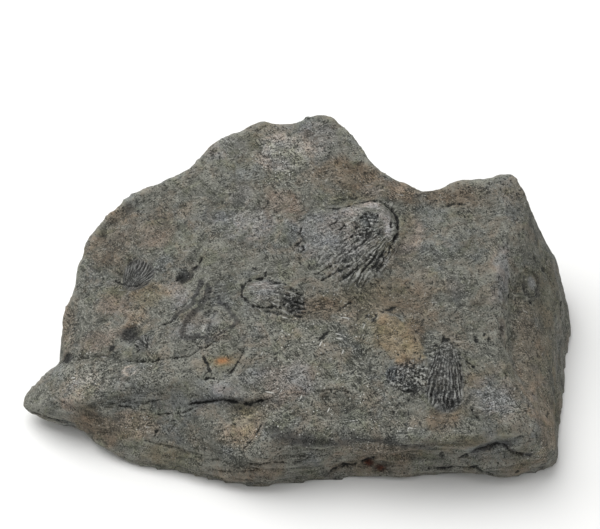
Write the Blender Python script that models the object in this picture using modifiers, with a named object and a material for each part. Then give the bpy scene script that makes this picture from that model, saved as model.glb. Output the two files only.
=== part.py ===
"""A loose, hand-sized block of grey shaly limestone with ribbed brachiopod valves on its sloping upper face.

The block is one piece of stone. It is lofted from the foot on the ground up to the rim of its upper side,
fused to an even mesh, roughened along its beds, given its valves, thinned to the faces that its shape
needs, and cut off flat where it rests.
Plan positions are in millimetres, x to the right and y towards the high back edge.
"""

import math

import bmesh
import bpy
import numpy as np
from mathutils import Vector, noise

MM = 0.001

# Driving dimensions
FACE_HEIGHT = 30.7  # height of the fossil face over the middle
FACE_DIP = 15.0  # degrees that the face slopes down towards the front
LEFT_FALL, LEFT_FROM = 0.0040, -14.0  # how fast the face falls away left of a plan position
TIP_FALL, TIP_FROM = 0.15, -59.0
RIDGE_REACH, RIDGE_FALL = 7.5, 2.3  # width and depth of the rounding along the right-hand ridge
MIDDLE = (0.9, 6.1)  # plan position of the middle of the block
SPOKE_CENTRE = (0.0, -15.0)  # every outline is seen whole from here
SPOKES = 540
FACE_RINGS = 46
EVEN_GRID = 1.0  # edge length of the even mesh
TRIANGLES = 9400
GROUND_CUT = 0.25  # thickness taken off the underside to make the flat base
FACE_SLOPE = math.tan(math.radians(FACE_DIP))

# The foot, anticlockwise from the front right corner. It stands on the ground.
FOOT = [
    (68.6, -37.8), (70.5, -34.9), (70.9, -27.3), (76.0, -1.5), (78.1, 12.0), (77.9, 24.0), (74.0, 32.0),
    (64.0, 37.5), (48.0, 40.0), (36.0, 41.0), (27.0, 44.0), (12.0, 55.0), (2.0, 56.5), (-12.0, 55.5),
    (-24.0, 50.0), (-38.0, 40.0), (-52.0, 31.0), (-60.0, 20.0), (-62.5, 8.0), (-63.5, -4.0),
    (-63.0, -12.0), (-61.0, -18.0), (-54.7, -27.6), (-46.4, -35.7), (-42.2, -37.5), (-32.4, -39.4),
    (-25.8, -41.8), (-16.1, -43.9), (-9.7, -44.2), (19.4, -41.1), (29.1, -41.5), (38.9, -39.3),
    (45.9, -39.0), (54.9, -41.8), (61.5, -40.1),
]
# Half way up the sides, with the height there.
BELLY = [
    (68.0, -39.3, 8.5), (68.5, -28.0, 10.5), (67.9, -17.5, 12.0), (70.1, -2.0, 14.5),
    (73.6, 12.0, 16.5), (73.7, 26.0, 17.0), (70.0, 34.3, 18.0), (61.0, 38.5, 18.0), (38.0, 38.6, 18.5),
    (28.0, 41.0, 19.0), (21.0, 46.5, 19.5), (13.5, 54.2, 20.0), (4.0, 56.8, 20.0), (-9.0, 56.2, 20.0),
    (-20.0, 51.3, 19.0), (-34.0, 41.0, 17.0), (-49.0, 32.8, 14.0), (-57.8, 24.0, 12.0),
    (-62.6, 12.0, 10.0), (-65.0, 1.0, 8.0), (-66.0, -8.5, 6.8), (-67.2, -12.6, 6.2),
    (-73.9, -16.4, 4.8), (-75.2, -18.0, 4.4), (-74.2, -20.1, 4.6), (-71.8, -22.3, 4.8),
    (-68.4, -24.0, 4.8), (-61.8, -25.2, 4.5), (-58.8, -26.7, 4.0), (-55.0, -31.6, 3.4),
    (-50.8, -34.9, 3.4), (-46.0, -36.9, 4.0), (-42.0, -37.9, 4.6), (-32.3, -40.3, 4.6),
    (-25.6, -42.7, 5.0), (-16.0, -44.7, 5.6), (-9.6, -44.8, 7.0), (0.0, -43.1, 9.0), (9.7, -40.8, 9.0),
    (29.0, -40.6, 9.0), (36.0, -41.1, 8.6), (48.0, -43.1, 8.0), (54.0, -43.3, 8.0), (60.5, -42.1, 8.4),
]
# The rim of the upper side. Its height is that of the surface there.
RIM = [
    (63.0, -40.0), (59.8, -27.8), (57.6, -16.1), (57.8, -1.2), (61.6, 17.1), (63.4, 29.0), (61.8, 36.2),
    (59.4, 37.5), (54.1, 35.5), (43.9, 33.5), (40.5, 32.0), (33.7, 31.4), (23.7, 37.0), (20.4, 40.0),
    (14.0, 51.2), (10.4, 54.4), (6.9, 55.4), (-3.4, 53.4), (-6.9, 53.5), (-10.4, 54.6), (-13.9, 53.0),
    (-17.3, 50.3), (-20.7, 49.5), (-24.1, 47.5), (-30.9, 40.5), (-34.3, 38.3), (-47.8, 34.2),
    (-51.2, 32.4), (-61.1, 22.2), (-63.3, 6.5), (-64.9, 4.8), (-66.2, 2.3), (-65.6, -11.8),
    (-70.5, -13.5), (-74.0, -15.5), (-75.8, -17.2), (-76.0, -18.9), (-75.4, -20.4), (-72.2, -23.1),
    (-64.8, -26.3), (-58.7, -27.9), (-55.1, -32.5), (-50.6, -35.2), (-45.9, -34.4), (-41.9, -34.6),
    (-17.5, -42.0), (-13.2, -42.2), (-8.7, -42.3), (-2.9, -41.1), (14.7, -41.1), (25.9, -43.1),
    (35.8, -43.9), (47.2, -42.0), (49.9, -40.8), (60.5, -40.3),
]
RIDGE = [(63.0, -40.0), (59.8, -27.8), (57.6, -16.1), (57.8, -1.2), (61.1, 17.1), (62.6, 27.0)]

# The bed with the fossils ends in a low cliff above a terrace. For each x: the y of the crest of the
# cliff, the y and height of its foot, and the y and height of the terrace's outer edge.
CLIFF = [
    (-76.5, -18.5, -21.0, 5.0, -23.0, 4.0), (-72.6, -20.5, -23.4, 6.4, -25.5, 5.0),
    (-65.6, -23.8, -26.4, 8.5, -28.5, 6.0), (-61.5, -25.3, -26.8, 11.5, -28.5, 6.0),
    (-59.2, -26.2, -26.9, 13.3, -28.6, 6.0), (-55.9, -26.3, -27.4, 13.8, -32.0, 5.5),
    (-53.0, -26.1, -27.9, 14.0, -34.0, 5.0), (-49.8, -25.8, -28.1, 14.2, -35.0, 5.3),
    (-44.8, -25.3, -29.2, 13.2, -34.4, 8.4), (-38.3, -24.5, -29.9, 13.2, -35.4, 9.0),
    (-32.5, -24.4, -30.4, 14.6, -37.4, 9.0), (-29.0, -25.1, -30.6, 16.6, -38.4, 9.6),
    (-27.4, -25.6, -29.7, 18.0, -39.0, 10.0), (-24.0, -27.3, -30.4, 19.3, -40.0, 10.6),
    (-20.5, -29.7, -30.8, 20.0, -41.1, 11.0), (-15.7, -30.5, -31.4, 19.0, -42.0, 11.9),
    (-11.7, -30.7, -31.5, 19.1, -42.0, 13.8), (-9.0, -30.5, -31.3, 20.6, -41.9, 16.6),
    (-5.6, -31.2, -31.9, 21.3, -42.0, 19.0), (-1.0, -31.4, -32.4, 22.0, -41.0, 19.7),
]
CLIFF_END = (-7.0, -1.0)  # where the cliff dies out on the right

# Broad forms of the face: middle, radii, turn in degrees, and height, negative for a hollow
FACE_FORMS = [
    ((-47.0, 0.0), (16.0, 15.0), -10.0, -2.2),  # hollow around the small valves
    ((-27.0, 2.0), (17.0, 3.4), 62.0, 1.5),  # ridge beside that hollow
    ((-2.0, 46.0), (16.0, 8.0), 0.0, 1.2),  # hump at the back
    ((18.0, -3.0), (26.0, 4.0), 4.0, -1.1),  # valley across the middle
    ((44.0, 8.0), (11.0, 16.0), 0.0, 1.2),  # swelling before the right-hand edge
    ((33.0, 24.0), (5.0, 10.0), 20.0, -1.0),  # dip under the notch
    ((-4.0, -27.0), (4.0, 13.0), -38.0, 0.9),  # low rib that runs down to the lip
]
CREASE = [
    (-67.0, -11.4), (-62.3, -13.0), (-59.4, -13.9), (-55.7, -14.3), (-49.2, -16.5), (-42.8, -18.4),
    (-36.3, -19.1), (-30.6, -18.4), (-26.6, -17.1), (-22.9, -15.6), (-16.2, -13.2),
]
CREASE_DEPTH, CREASE_WIDTH = 1.0, 1.6
STEP = [(2.6, -31.2), (4.5, -29.8), (7.2, -29.2), (10.9, -30.1), (14.0, -30.9), (16.5, -32.0)]
STEP_DROP, STEP_REACH = 1.3, 6.0
# Edges of broken shells that stand out of the face as narrow ridges
SHELL_EDGES = [
    [(-37.8, -7.1), (-34.8, -6.8), (-31.8, -6.0), (-29.4, -3.8), (-27.8, 0.0), (-26.8, 2.0)],
    [(-24.9, 2.6), (-25.6, -1.8), (-26.9, -5.1), (-30.9, -6.8), (-32.2, -11.4), (-30.8, -13.2), (-27.3, -12.6)],
    [(-25.1, -12.8), (-23.8, -8.4), (-21.2, -4.0), (-17.6, -9.6), (-22.6, -13.0)],
]
SHELL_EDGE_HEIGHT, SHELL_EDGE_WIDTH = 0.5, 0.9
CHIP = [(-26.3, -18.6), (-24.9, -22.2), (-23.2, -25.5), (-19.2, -25.1), (-16.0, -21.1), (-14.8, -16.8)]
CHIP_GROOVE, CHIP_GROOVE_WIDTH = 0.8, 0.6
# A bed that overhangs on the front wall, as x and height along its lower edge
FRONT_LEDGE = [
    (8.0, 5.0), (13.3, 8.5), (18.6, 11.0), (26.5, 12.2), (34.4, 12.0), (41.7, 10.2), (45.0, 12.6),
    (48.8, 15.6), (53.3, 14.7), (58.6, 12.6), (62.0, 11.0),
]
FRONT_RECESS = 1.4

# Valves: beak position, turn of the beak-to-margin line, length, width, height of the dome, how far its
# margin is sunk in the stone, rib count and rib depth
VALVES = {
    "large": ((26.4, 22.4), -146.0, 27.0, 28.5, 3.4, 0.7, 21, 0.65),
    "oval": ((-16.4, -0.2), -14.0, 18.4, 12.4, 2.6, 0.7, 15, 0.4),
    "fan": ((39.6, -14.2), -94.0, 22.6, 12.6, 1.9, 0.35, 11, 0.6),
    "buff": ((18.6, -5.4), -62.0, 26.5, 16.5, 2.7, 0.25, 15, 0.3),
    "left_fan": ((-51.8, 8.2), 21.0, 10.9, 8.8, -1.1, 0.0, 9, 0.3),
    "left_lens": ((-34.0, 4.1), 44.0, 10.0, 5.8, -0.9, 0.0, 0, 0.0),
    "round": ((-49.3, -8.2), -11.0, 6.5, 5.7, -0.8, 0.0, 0, 0.0),
    "scrap": ((-40.5, -15.0), 128.0, 5.7, 5.2, 0.5, 0.3, 6, 0.3),
    "cast": ((-27.9, -36.2), 0.0, 18.6, 13.4, 1.6, 0.35, 0, 0.0),
}

# Roughness of broken stone: wavelength and height of each scale
STONE_SCALES = [(19.0, 0.9), (7.5, 0.5), (3.2, 0.22)]
BED_THICKNESS, BED_RELIEF = 3.4, 0.95


def smooth(low, high, value):
    """0 below low, 1 above high and a soft rise between."""
    t = np.clip((value - low) / (high - low), 0.0, 1.0)
    return t * t * (3.0 - 2.0 * t)


def mound(x, y, middle, radii, turn, height):
    """A soft oval hill, or a hollow where height is negative."""
    angle = math.radians(turn)
    dx, dy = x - middle[0], y - middle[1]
    u = (dx * math.cos(angle) + dy * math.sin(angle)) / radii[0]
    v = (dy * math.cos(angle) - dx * math.sin(angle)) / radii[1]
    return height * np.exp(-(u * u + v * v))


def along_path(x, y, path):
    """Distance to an open path, the side of it as +1 on the right, and the share of the way along it."""
    nearest = np.full(np.shape(x), 1e9)
    side, share = np.zeros(np.shape(x)), np.zeros(np.shape(x))
    legs = list(zip(path[:-1], path[1:]))
    lengths = [math.dist(a, b) for a, b in legs]
    done = 0.0
    for ((ax, ay), (bx, by)), length in zip(legs, lengths):
        dx, dy = (bx - ax) / length, (by - ay) / length
        t = np.clip((x - ax) * dx + (y - ay) * dy, 0.0, length)
        gap = np.hypot(x - ax - t * dx, y - ay - t * dy)
        closer = gap < nearest
        nearest = np.where(closer, gap, nearest)
        side = np.where(closer, np.sign((x - ax) * dy - (y - ay) * dx), side)
        share = np.where(closer, (done + t) / sum(lengths), share)
        done += length
    return nearest, side, share


def upper_face(x, y):
    """Height of the bed with the fossils, as if it had no front edge."""
    z = FACE_HEIGHT + FACE_SLOPE * y - LEFT_FALL * np.clip(LEFT_FROM - x, 0.0, None) ** 2
    z = z - TIP_FALL * np.clip(TIP_FROM - x, 0.0, None) ** 1.2
    for middle, radii, turn, height in FACE_FORMS:
        z = z + mound(x, y, middle, radii, turn, height)
    gap, _, _ = along_path(x, y, RIDGE)
    return z - RIDGE_FALL * np.clip(1.0 - gap / RIDGE_REACH, 0.0, None) ** 2


def top_height(x, y):
    """Height of the upper side: the fossil face, its front cliff and the terrace below that."""
    profile = np.array(CLIFF).T
    crest, foot_y, foot_z, edge_y, edge_z = (np.interp(x, profile[0], row) for row in profile[1:])
    terrace = foot_z + (foot_z - edge_z) / (foot_y - edge_y) * (y - foot_y)
    front = smooth(0.0, 1.0, (crest - y) / (crest - foot_y)) * smooth(CLIFF_END[1], CLIFF_END[0], x)
    upper = upper_face(x, y)
    return upper + (terrace - upper) * front


def spoke_points(outline):
    """The outline's points on evenly turned spokes about the centre, as rows of x, y and any height."""
    corners = np.array(outline + outline[:1], float)
    places = np.linspace(0, len(outline), 12 * len(outline), endpoint=False)
    points = np.column_stack([np.interp(places, range(len(corners)), column) for column in corners.T])
    offset = points[:, :2] - SPOKE_CENTRE
    angle = np.arctan2(offset[:, 1], offset[:, 0]) % (2 * math.pi)
    order = np.argsort(angle)
    values = np.column_stack([np.hypot(*offset.T), points[:, 2:]])[order]
    spokes = np.arange(SPOKES) * 2 * math.pi / SPOKES
    columns = [np.interp(spokes, angle[order], column, period=2 * math.pi) for column in values.T]
    x = SPOKE_CENTRE[0] + columns[0] * np.cos(spokes)
    y = SPOKE_CENTRE[1] + columns[0] * np.sin(spokes)
    return np.column_stack([x, y, *columns[1:]])


def block_rings():
    """Closed rings of points up the sides of the block and inwards over its upper side."""
    foot = np.column_stack([spoke_points(FOOT), np.zeros(SPOKES)])
    belly, rim = spoke_points(BELLY), spoke_points(RIM)
    rim = np.column_stack([rim, top_height(rim[:, 0], rim[:, 1])])
    sides = []
    for below, above in ((foot, belly), (belly, rim)):
        sides += [below + share * (above - below) for share in (0.0, 0.25, 0.5, 0.75)]
    top = []
    for share in np.linspace(1.0, 0.02, FACE_RINGS):
        plan = np.array(SPOKE_CENTRE) + share * (rim[:, :2] - SPOKE_CENTRE)
        top.append(np.column_stack([plan, top_height(plan[:, 0], plan[:, 1])]))
    return sides + top


def loft(rings):
    """One closed mesh through the rings, bridged one to the next and capped at both ends."""
    bm = bmesh.new()
    loops = []
    for ring in rings:
        verts = [bm.verts.new(point) for point in ring]
        loops.append([bm.edges.new(pair) for pair in zip(verts, verts[1:] + verts[:1])])
    for below, above in zip(loops[:-1], loops[1:]):
        bmesh.ops.bridge_loops(bm, edges=below + above)
    for end in (loops[0], loops[-1]):
        bmesh.ops.contextual_create(bm, geom=end)
    bmesh.ops.recalc_face_normals(bm, faces=bm.faces)
    return bm


def with_modifier(mesh, kind, **settings):
    """A new mesh: the old one with one modifier applied."""
    obj = bpy.data.objects.new("work", mesh)
    bpy.context.scene.collection.objects.link(obj)
    modifier = obj.modifiers.new(kind.title(), kind)
    for name, value in settings.items():
        setattr(modifier, name, value)
    graph = bpy.context.evaluated_depsgraph_get()
    result = bpy.data.meshes.new_from_object(obj.evaluated_get(graph))
    bpy.data.objects.remove(obj)
    bpy.data.meshes.remove(mesh)
    return result


def mesh_points(mesh):
    """Vertex positions and normals of a mesh, as arrays."""
    points, normals = np.empty((2, len(mesh.vertices) * 3))
    mesh.vertices.foreach_get("co", points)
    mesh.vertices.foreach_get("normal", normals)
    return points.reshape(-1, 3), normals.reshape(-1, 3)


def set_points(mesh, points):
    mesh.vertices.foreach_set("co", points.ravel())
    mesh.update()


def noise_at(points, shift):
    """Smooth noise from -1 to 1 at each point; shift picks another field."""
    offset = Vector((shift, shift * 0.37, -shift * 0.61))
    return np.array([noise.noise(Vector(point) + offset) for point in points])


def bed_ledges(points, normals):
    """Ledges along the beds on the steep sides, weaker on the right-hand side, which broke across them."""
    level = points[:, 2] - 0.6 * FACE_SLOPE * points[:, 1] * points[:, 2] / FACE_HEIGHT
    beds = np.column_stack([points[:, 0] / 26.0, points[:, 1] / 26.0, level / BED_THICKNESS])
    ledges = noise_at(beds, 5.0)
    steepness = smooth(0.85, 0.45, np.abs(normals[:, 2])) * (1.0 - 0.75 * smooth(0.4, 0.8, normals[:, 0]))
    return BED_RELIEF * steepness * np.sign(ledges) * np.abs(ledges) ** 0.6


def front_recess(points, normals):
    """The hollow below the overhanging bed on the front wall."""
    line = np.array(FRONT_LEDGE).T
    below = np.interp(points[:, 0], *line) - points[:, 2]
    along = smooth(line[0][0], line[0][0] + 6.0, points[:, 0]) * smooth(64.0, 61.0, points[:, 0])
    recess = smooth(0.0, 0.9, below) * smooth(7.5, 2.0, below)
    return FRONT_RECESS * recess * along * smooth(-0.35, -0.65, normals[:, 1])


def roughen(mesh):
    """Broken stone all over, calmer on the fossil face, with ledges along the beds on the sides."""
    points, normals = mesh_points(mesh)
    push = sum(
        height * noise_at(points / wavelength, 11.0 * wavelength) for wavelength, height in STONE_SCALES
    )
    push += bed_ledges(points, normals)
    push *= 1.0 - 0.55 * smooth(0.7, 0.85, normals[:, 2])
    push -= front_recess(points, normals)
    push *= smooth(0.0, 2.0, points[:, 2])
    set_points(mesh, points + normals * push[:, None])


def valve_axes(valve):
    """The beak's position and the directions along, across and out of a valve."""
    (x, y), turn, length = valve[:3]
    turn, near = math.radians(turn), length / 4
    middle_x, middle_y = x + length / 2 * math.cos(turn), y + length / 2 * math.sin(turn)
    xs = np.array([near, -near, 0.0, 0.0, 0.0]) + middle_x
    ys = np.array([0.0, 0.0, near, -near, 0.0]) + middle_y
    east, west, north, south, here = top_height(xs, ys)
    right = Vector((2 * near, 0.0, east - west)).normalized()
    out = right.cross(Vector((0.0, 2 * near, north - south))).normalized()
    up_slope = out.cross(right)
    along = math.cos(turn) * right + math.sin(turn) * up_slope
    across = math.cos(turn) * up_slope - math.sin(turn) * right
    beak = np.array([middle_x, middle_y, here]) - length / 2 * np.array(along)
    return beak, np.array(along), np.array(across), np.array(out)


def valve_place(points, valve):
    """Where each point lies on a valve: along and across it, and 1 at its margin."""
    length, width = valve[2:4]
    beak, along, across, out = valve_axes(valve)
    offset = points - beak
    a, b, height = offset @ along, offset @ across, offset @ out
    u = a / (length / 2) - 1.0
    v = b / (width / 2) / np.clip(1.0 + 0.28 * u, 0.5, None)
    reach = (np.abs(u) ** 2.2 + np.abs(v) ** 2.2) ** (1 / 2.2)
    return a, b, np.where(np.abs(height) < 6.0, reach, 9.0)


def valve_relief(points, valve):
    """How far a valve stands out of the stone, with ribs that fan out from its beak."""
    _, _, length, width, dome, sunk, ribs, rib_depth = valve
    a, b, reach = valve_place(points, valve)
    inside = np.clip(1.0 - reach**2, 0.0, None)
    lean = 1.0 - 0.3 * (a / (length / 2) - 1.0)
    relief = dome * inside**0.55 * lean - sunk * smooth(1.0, 0.97, reach)
    if ribs:
        fan = np.arctan2(b, a + 0.12 * length)
        spread = math.atan2(width / 2, 0.45 * length)
        crest = np.abs(np.cos(math.pi * ribs * fan / (2 * spread)))
        strength = smooth(0.12, 0.5, a / length) * smooth(1.0, 0.9, reach)
        relief += rib_depth * strength * (crest - 0.6)
    return relief


def refine(mesh, cuts):
    """Splits the faces around each valve, so that its ribs have points to stand on."""
    bm = bmesh.new()
    bm.from_mesh(mesh)
    for _ in range(cuts):
        points = np.array([v.co for v in bm.verts])
        near = np.zeros(len(points), bool)
        for valve in VALVES.values():
            near |= valve_place(points, valve)[2] < 1.12
        edges = [e for e in bm.edges if near[e.verts[0].index] and near[e.verts[1].index]]
        bmesh.ops.subdivide_edges(bm, edges=edges, cuts=1, use_grid_fill=True)
        bm.verts.index_update()
    bmesh.ops.triangulate(bm, faces=[f for f in bm.faces if len(f.verts) > 4])
    bm.to_mesh(mesh)
    bm.free()


def groove(x, y, path, width):
    """1 along a path, fading over the width."""
    return np.exp(-((along_path(x, y, path)[0] / width) ** 2))


def face_lines(x, y):
    """Height of the crease, the small step, the edges of broken shells and the groove around the chip."""
    crease_gap, _, share = along_path(x, y, CREASE)
    push = -CREASE_DEPTH * smooth(1.0, 0.55, share) * np.exp(-((crease_gap / CREASE_WIDTH) ** 2))
    gap, side, share = along_path(x, y, STEP)
    along = smooth(0.0, 0.3, share) * smooth(1.0, 0.7, share)
    push -= STEP_DROP * along * (side > 0) * np.exp(-((gap / STEP_REACH) ** 2))
    push += SHELL_EDGE_HEIGHT * sum(groove(x, y, path, SHELL_EDGE_WIDTH) for path in SHELL_EDGES)
    return push - CHIP_GROOVE * groove(x, y, CHIP, CHIP_GROOVE_WIDTH)


def add_face_details(mesh):
    """Valves and the lines of the fossil face."""
    points, _ = mesh_points(mesh)
    moved = points.copy()
    for valve in VALVES.values():
        moved += valve_relief(points, valve)[:, None] * valve_axes(valve)[3]
    x, y, z = points.T
    on_top = smooth(3.0, 1.5, np.abs(z - top_height(x, y)))
    up = np.array([0.0, -math.sin(math.radians(FACE_DIP)), math.cos(math.radians(FACE_DIP))])
    moved += (on_top * face_lines(x, y))[:, None] * up
    set_points(mesh, moved)


def cut_flat(mesh):
    """Cuts the underside off flat, stands the block on the cut over the origin, and turns it to metres."""
    bm = bmesh.new()
    bm.from_mesh(mesh)
    everything = bm.verts[:] + bm.edges[:] + bm.faces[:]
    cut = bmesh.ops.bisect_plane(
        bm, geom=everything, plane_co=(0, 0, GROUND_CUT), plane_no=(0, 0, -1), clear_outer=True
    )
    edges = [item for item in cut["geom_cut"] if isinstance(item, bmesh.types.BMEdge)]
    bmesh.ops.holes_fill(bm, edges=edges)
    bmesh.ops.translate(bm, verts=bm.verts, vec=(-MIDDLE[0], -MIDDLE[1], -GROUND_CUT))
    bmesh.ops.scale(bm, verts=bm.verts, vec=(MM, MM, MM))
    bmesh.ops.recalc_face_normals(bm, faces=bm.faces)
    bm.to_mesh(mesh)
    bm.free()


def limestone():
    """Dull grey shaly limestone."""
    material = bpy.data.materials.new("limestone")
    material.use_nodes = True
    shader = material.node_tree.nodes["Principled BSDF"]
    shader.inputs["Base Color"].default_value = (0.15, 0.147, 0.13, 1.0)
    shader.inputs["Roughness"].default_value = 0.9
    shader.inputs["Metallic"].default_value = 0.0
    return material


def main():
    for obj in list(bpy.data.objects):
        bpy.data.objects.remove(obj)
    collection = bpy.data.collections.new("brachiopod fossil")
    bpy.context.scene.collection.children.link(collection)

    mesh = bpy.data.meshes.new("fossil_rock")
    bm = loft(block_rings())
    bm.to_mesh(mesh)
    bm.free()
    mesh = with_modifier(mesh, "REMESH", mode="VOXEL", voxel_size=EVEN_GRID)
    roughen(mesh)
    refine(mesh, cuts=2)
    add_face_details(mesh)
    mesh = with_modifier(mesh, "TRIANGULATE")
    mesh = with_modifier(mesh, "DECIMATE", ratio=TRIANGLES / len(mesh.polygons))
    cut_flat(mesh)

    rock = bpy.data.objects.new("fossil_rock", mesh)
    rock.data.materials.append(limestone())
    mesh.shade_smooth()
    mesh.set_sharp_from_angle(angle=math.radians(35.0))
    collection.objects.link(rock)


main()
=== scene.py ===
"""A hand specimen of grey shaly limestone with ribbed brachiopod valves on its sloping upper face.

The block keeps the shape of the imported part. It gets the finer relief of broken stone, the ribs, margins and
cracks of its fossils, and a stone finish. Places on the stone are in millimetres from the middle of its base,
x to the right, y towards the high back edge and z up.
"""

import math
from typing import NamedTuple

import bmesh
import bpy
import numpy as np
from bpy.props import FloatProperty, FloatVectorProperty, IntProperty, PointerProperty
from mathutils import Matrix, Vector, noise


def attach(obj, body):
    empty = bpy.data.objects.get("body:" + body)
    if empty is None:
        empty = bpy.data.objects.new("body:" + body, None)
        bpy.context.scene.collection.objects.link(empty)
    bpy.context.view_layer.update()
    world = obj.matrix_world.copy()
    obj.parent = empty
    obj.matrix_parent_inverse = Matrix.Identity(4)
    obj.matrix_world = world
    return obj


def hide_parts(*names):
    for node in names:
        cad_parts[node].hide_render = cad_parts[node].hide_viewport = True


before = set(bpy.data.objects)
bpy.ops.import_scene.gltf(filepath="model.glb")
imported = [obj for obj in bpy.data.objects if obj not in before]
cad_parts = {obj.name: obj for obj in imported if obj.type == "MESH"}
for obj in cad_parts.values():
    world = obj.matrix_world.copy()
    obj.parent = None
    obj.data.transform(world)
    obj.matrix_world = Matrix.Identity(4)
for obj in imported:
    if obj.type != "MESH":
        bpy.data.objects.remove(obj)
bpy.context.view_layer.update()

bl_info = {
    "name": "Brachiopod fossil",
    "version": (1, 0, 0),
    "blender": (4, 5, 0),
    "location": "3D View > Sidebar > Fossil",
    "description": "Dresses a block of fossil limestone and sets it on a studio floor",
    "category": "Object",
}

MM = 0.001
STONE = "fossil_stone"
PICTURE_WIDTH = 600
BED_SLOPE = math.tan(math.radians(15.0))
LAMP_PLACE = Vector((-0.35, 0.3, 0.75))
CAMERA_TARGET = Vector((-0.9, 3.9, 30.45)) * MM
FLOOR_REACH = 3.0
FOOT_HEIGHT = 0.45 * MM

# In millimetres, apart from the shares: where the mesh is finer, and what counts as part of a valve
FACING = 0.35  # least share of a normal that points up, or to the front
FRONT_START = -20.0
COARSE_FOOT = 0.3
SQUARENESS = 2.2  # power of a valve's outline: 2 is an ellipse, and more is squarer
VALVE_BAND = 6.0  # how far above or below its plane a point can lie
FAR_OFF = 9.0  # share that is given to points outside that band


def linear(red, green, blue):
    """Scene colour of a display colour that is given from 0 to 255."""
    shares = [value / 255 for value in (red, green, blue)]
    return tuple(s / 12.92 if s <= 0.04045 else ((s + 0.055) / 1.055) ** 2.4 for s in shares)


class Valve(NamedTuple):
    """A ribbed valve. Its ribs meet behind the beak and run out to the margin."""

    beak: tuple  # x and y
    turn: float  # degrees from the x axis to the middle rib
    length: float
    width: float
    flare: float  # how much wider it is at the margin than at the beak
    ribs: int
    apex: float  # where the ribs meet, behind the beak, as a share of the length
    start: float  # share of the length where the ribs begin to show
    depth: float
    groove: float  # darkness of the grooves
    body: float  # darkness of the whole valve
    pale: float  # paleness of the ribs' crests
    faint: float  # how much the grooves fade towards its left-hand side


VALVES = {
    "large": Valve((25.8, 16.8), -146.0, 27.0, 26.5, 0.28, 22, 0.40, 0.26, 0.26, 0.9, 0.0, 0.6, 0.85),
    "oval": Valve((-17.3, -6.5), -13.0, 18.2, 10.8, 0.0, 9, 0.30, 0.60, 0.30, 0.9, 0.0, 0.4, 0.0),
    "fan": Valve((38.6, -20.6), -94.0, 21.4, 9.4, 0.45, 10, 0.22, 0.10, 0.34, 1.0, 0.50, 0.8, 0.0),
    "left_fan": Valve((-49.2, -1.2), 50.0, 9.8, 9.4, 0.30, 11, 0.35, 0.02, 0.28, 1.0, 0.72, 0.4, 0.0),
    "scrap": Valve((-41.4, -21.1), 128.0, 5.7, 5.2, 0.2, 6, 0.3, 0.1, 0.20, 0.6, 0.15, 0.4, 0.0),
}

# Ring of the scar on the right-hand facet
SCAR = [(61.9, 2.5, 27.3), (61.4, 0.1, 26.2), (62, -1.6, 24.8), (63, -2.4, 23.6), (64.5, -0.9, 22.5),
        (65.3, 2, 23.2), (65.4, 4.3, 24.4), (64.2, 5.1, 25.9), (62.6, 4.1, 27.3)]

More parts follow.
